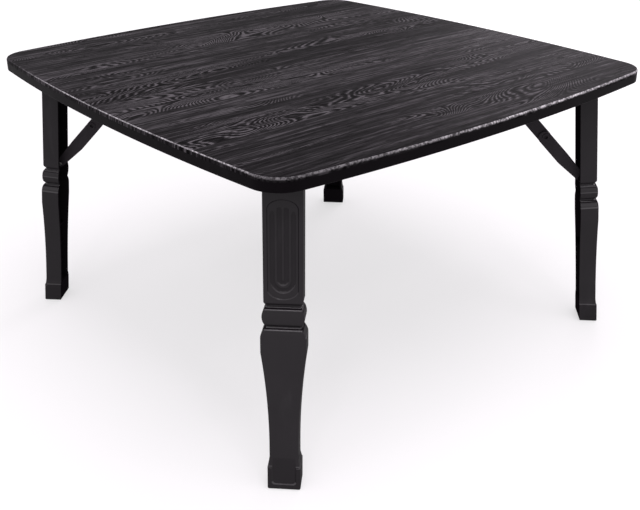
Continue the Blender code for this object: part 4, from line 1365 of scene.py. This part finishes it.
class BuildStays(bpy.types.Operator):
    """Model the two links of a stay with the rivet at their knee, for each corner"""
    bl_idname = "fold_table.build_stays"
    bl_label = "Folding stays"

    def execute(self, context):
        stay = context.scene.fold_table_stay
        lower, upper = link_lengths(stay)
        low_plane, high_plane = link_planes(stay)
        rise = stay_slope()
        fall = math.pi + rise
        link = stay_link("lower", stay, low_plane, lower, stay.side, stay.kink, stay.tip)
        furnish(link, "lower_stay", "enamel", "lower_link", "lower_link_{}", tilt=fall, ease=stay.edge)
        link = stay_link("upper", stay, high_plane, upper, -stay.side, stay.neck, stay.end)
        furnish(link, "upper_stay", "enamel", "upper_link", "upper_link_{}", tilt=rise, ease=stay.edge)
        rivet = knee_half("rivet", stay, low_plane[0], low_plane[1])
        furnish(rivet, "knee_rivet_half", "enamel", "lower_link", "knee_rivet_{}",
                tilt=fall, offset=(lower, 0.0, 0.0))
        collar = knee_half("collar", stay, high_plane[1], high_plane[0])
        furnish(collar, "knee_collar_half", "enamel", "upper_link", "knee_collar_{}",
                tilt=rise, offset=(upper, 0.0, 0.0))
        return {"FINISHED"}


class BuildFittings(bpy.types.Operator):
    """Model the plates, pins, studs, screws and pads and set them out at each corner"""
    bl_idname = "fold_table.build_fittings"
    bl_label = "Plates, pins, screws and pads"

    def execute(self, context):
        scene = context.scene
        leg, stay, plate = scene.fold_table_leg, scene.fold_table_stay, scene.fold_table_plate
        low_plane, high_plane = link_planes(stay)
        lug_face = low_plane[0] - stay.gap - stay.lug
        ear_face = high_plane[1] + stay.gap + plate.stay_ear
        furnish(stamped_plate(plate, stay), "stamped_plate", "enamel", "leg", "leg_plate_{}",
                body="table", ease=plate.ease)
        furnish(hinge_pin(plate, leg.width / 2 - stay.gap), "pivot_pin", "enamel", "leg", "hinge_pin_{}",
                tilt=-leg.splay)
        stud = headed_stud("leg_stud", stay, lug_face, low_plane[1])
        furnish(stud, "leg_stud", "zinc", "leg", "link_stud_{}",
                tilt=-leg.splay, offset=(-stay.pivot_in, 0.0, -stay.pivot_drop))
        stud = headed_stud("plate_stud", stay, ear_face, high_plane[0])
        furnish(stud, "plate_stud", "zinc", "upper_link", "stay_stud_{}", body="table")
        furnish(sole_pad(leg), "sole_pad", "rubber", "leg", "foot_pad_{}")
        height = HINGE_DROP - plate.thickness - 2 * stay.gap
        for index, (x, y) in enumerate(screw_places(plate), start=1):
            furnish(pan_screw(plate), f"pan_screw_{index}", "zinc", "leg", f"plate_screw_{{}}_{index}",
                    body="table", offset=(x, y, height))
        return {"FINISHED"}


class BuildStage(bpy.types.Operator):
    """Lay the pale floor and set up the lights, the surroundings and the camera"""
    bl_idname = "fold_table.build_stage"
    bl_label = "Floor, light and camera"

    def execute(self, context):
        scene = context.scene
        lay_floor(scene.fold_table_colours)
        light_room(scene)
        set_camera(scene)
        scene.view_settings.view_transform = "Standard"
        return {"FINISHED"}


# Stage

FLOOR_SIZE = 40.0
# The floor's glow near the table, what it gains farther out, and the reach over which it gains it
FLOOR_GLOW, FAR_GLOW = 0.57, 0.2
GLOW_REACH = (0.7, 2.2)
# The room as it lights the table, and as the camera sees it
ROOM_LIGHT = (0.75, 0.70, 0.75)
ROOM_SHOWN = (1.0, 1.0, 1.0)
LAMP_COLOUR = (1.0, 0.93, 1.0)
LAMP_AIM = Vector((0.0, 0.0, 0.2))
# Lamps: name, place, width and height, power
LAMPS = (
    ("key_lamp", (0.0, -0.5, 2.5), (1.7, 1.7), 35.0),
    ("front_panel", (-1.55, -1.30, 1.30), (2.6, 0.9), 10.0),
    ("left_lamp", (-1.69, -0.05, 1.85), (0.2, 0.2), 1.2),
    ("front_lamp", (-1.47, -1.12, 1.83), (0.2, 0.2), 3.2),
    ("right_lamp", (-0.40, -1.60, 1.80), (0.2, 0.2), 2.8),
    ("sheen_lamp", (1.75, 0.85, 0.80), (0.8, 0.8), 10.0),
)
# The camera's place, its turn to the side, down and about its axis, and its lens in millimetres
CAMERA_PLACE = (-0.72194, -0.86023, 0.63897)
CAMERA_TURN, CAMERA_DIP, CAMERA_ROLL = -0.70368, 0.41006, -0.00199
SENSOR_WIDTH, FOCAL_LENGTH = 36.0, 51.985
# The lens shift in pixels of the photograph, whose width it is set by
LENS_SHIFT, PHOTO_WIDTH = -50.0, 640.0
NEAR_CLIP = 0.01


def seen_rays(wire):
    """1 for rays from the camera, a glossy surface or a clear one, and 0 for those that carry light."""
    kinds = ("Camera", "Glossy", "Transmission")
    rays = [wire.node("LightPath", None, None, f"Is {kind} Ray") for kind in kinds]
    return (rays[0] + rays[1] + rays[2]).between(0.0, 1.0)


def lay_floor(colours):
    """A pale floor that shows nearly white to the camera and keeps the table's shadow."""
    floor = begin("plane", "pale_floor", size=FLOOR_SIZE)
    put_down()
    fixed = {"Roughness": 0.9, "Specular_IOR_Level": 0.0, "Emission_Strength": 1.0}
    made, surface, place = new_finish("pale_floor", **fixed)
    speckle = place.noise(place, 3.0, 2.0) * 0.02
    whiter = tuple(min(1.0, value + 0.03) for value in colours.floor)
    away = place.node("VectorMath", {"operation": "LENGTH"}, {0: place}, "Value")
    feed(surface, Base_Color=place.mix(speckle, tint(colours.floor), tint(whiter)),
         Emission_Color=seen_rays(place) * (FLOOR_GLOW + away.between(*GLOW_REACH) * FAR_GLOW))
    floor.data.materials.append(made)


def light_room(scene):
    """A pale room that shows white, a broad lamp above, a panel and three lamps in front, and one behind."""
    world = bpy.data.worlds.new("pale_room")
    scene.world = world
    world.use_nodes = True
    room = Wire(world.node_tree, None)
    shade = room.mix(seen_rays(room), tint(ROOM_LIGHT), tint(ROOM_SHOWN))
    feed(world.node_tree.nodes["Background"], Color=shade)
    for name, place, (wide, tall), power in LAMPS:
        put_down()
        bpy.ops.object.light_add(type="AREA", location=place)
        lamp = bpy.context.object
        lamp.name = name
        lamp.data.shape = "RECTANGLE"
        lamp.data.size = wide
        lamp.data.size_y = tall
        lamp.data.energy = power
        lamp.data.color = LAMP_COLOUR
        aim = LAMP_AIM - Vector(place)
        lamp.rotation_euler = aim.to_track_quat("-Z", "Y").to_euler()


def set_camera(scene):
    """The photograph's view: from over the front corner, with a small lens shift."""
    put_down()
    bpy.ops.object.camera_add(location=CAMERA_PLACE)
    camera = bpy.context.object
    turn = Matrix.Rotation(CAMERA_TURN, 4, "Z") @ Matrix.Rotation(QUARTER - CAMERA_DIP, 4, "X")
    camera.rotation_euler = (turn @ Matrix.Rotation(CAMERA_ROLL, 4, "Z")).to_euler()
    camera.data.sensor_width = SENSOR_WIDTH
    camera.data.lens = FOCAL_LENGTH
    camera.data.shift_y = LENS_SHIFT / PHOTO_WIDTH
    camera.data.clip_start = NEAR_CLIP
    scene.camera = camera


# Panel

class TablePanel(bpy.types.Panel):
    """Lists the sizes, the colours and the building steps"""
    bl_idname = "VIEW3D_PT_fold_table"
    bl_label = "Folding table"
    bl_space_type = "VIEW_3D"
    bl_region_type = "UI"
    bl_category = "Folding table"

    def draw(self, context):
        for step in STEPS:
            self.layout.operator(step.bl_idname)
        for name, group in GROUPS.items():
            box = self.layout.box()
            box.label(text=group.__doc__)
            for key in group.__annotations__:
                box.prop(getattr(context.scene, name), key)


GROUPS = {
    "fold_table_top": TopSizes,
    "fold_table_leg": LegSizes,
    "fold_table_panel": PanelSizes,
    "fold_table_stay": StaySizes,
    "fold_table_plate": PlateSizes,
    "fold_table_colours": FinishColours,
}
STEPS = (BuildTop, BuildLegs, BuildStays, BuildFittings, BuildStage)


def register():
    for group in GROUPS.values():
        bpy.utils.register_class(group)
    for name, group in GROUPS.items():
        setattr(bpy.types.Scene, name, bpy.props.PointerProperty(type=group))
    for kind in (*STEPS, TablePanel):
        bpy.utils.register_class(kind)


def unregister():
    for kind in reversed((*STEPS, TablePanel)):
        bpy.utils.unregister_class(kind)
    for name, group in reversed(GROUPS.items()):
        delattr(bpy.types.Scene, name)
        bpy.utils.unregister_class(group)


def main():
    register()
    bpy.ops.fold_table.build_top()
    bpy.ops.fold_table.build_legs()
    bpy.ops.fold_table.build_stays()
    bpy.ops.fold_table.build_fittings()
    bpy.ops.fold_table.build_stage()


if __name__ == "__main__":
    main()
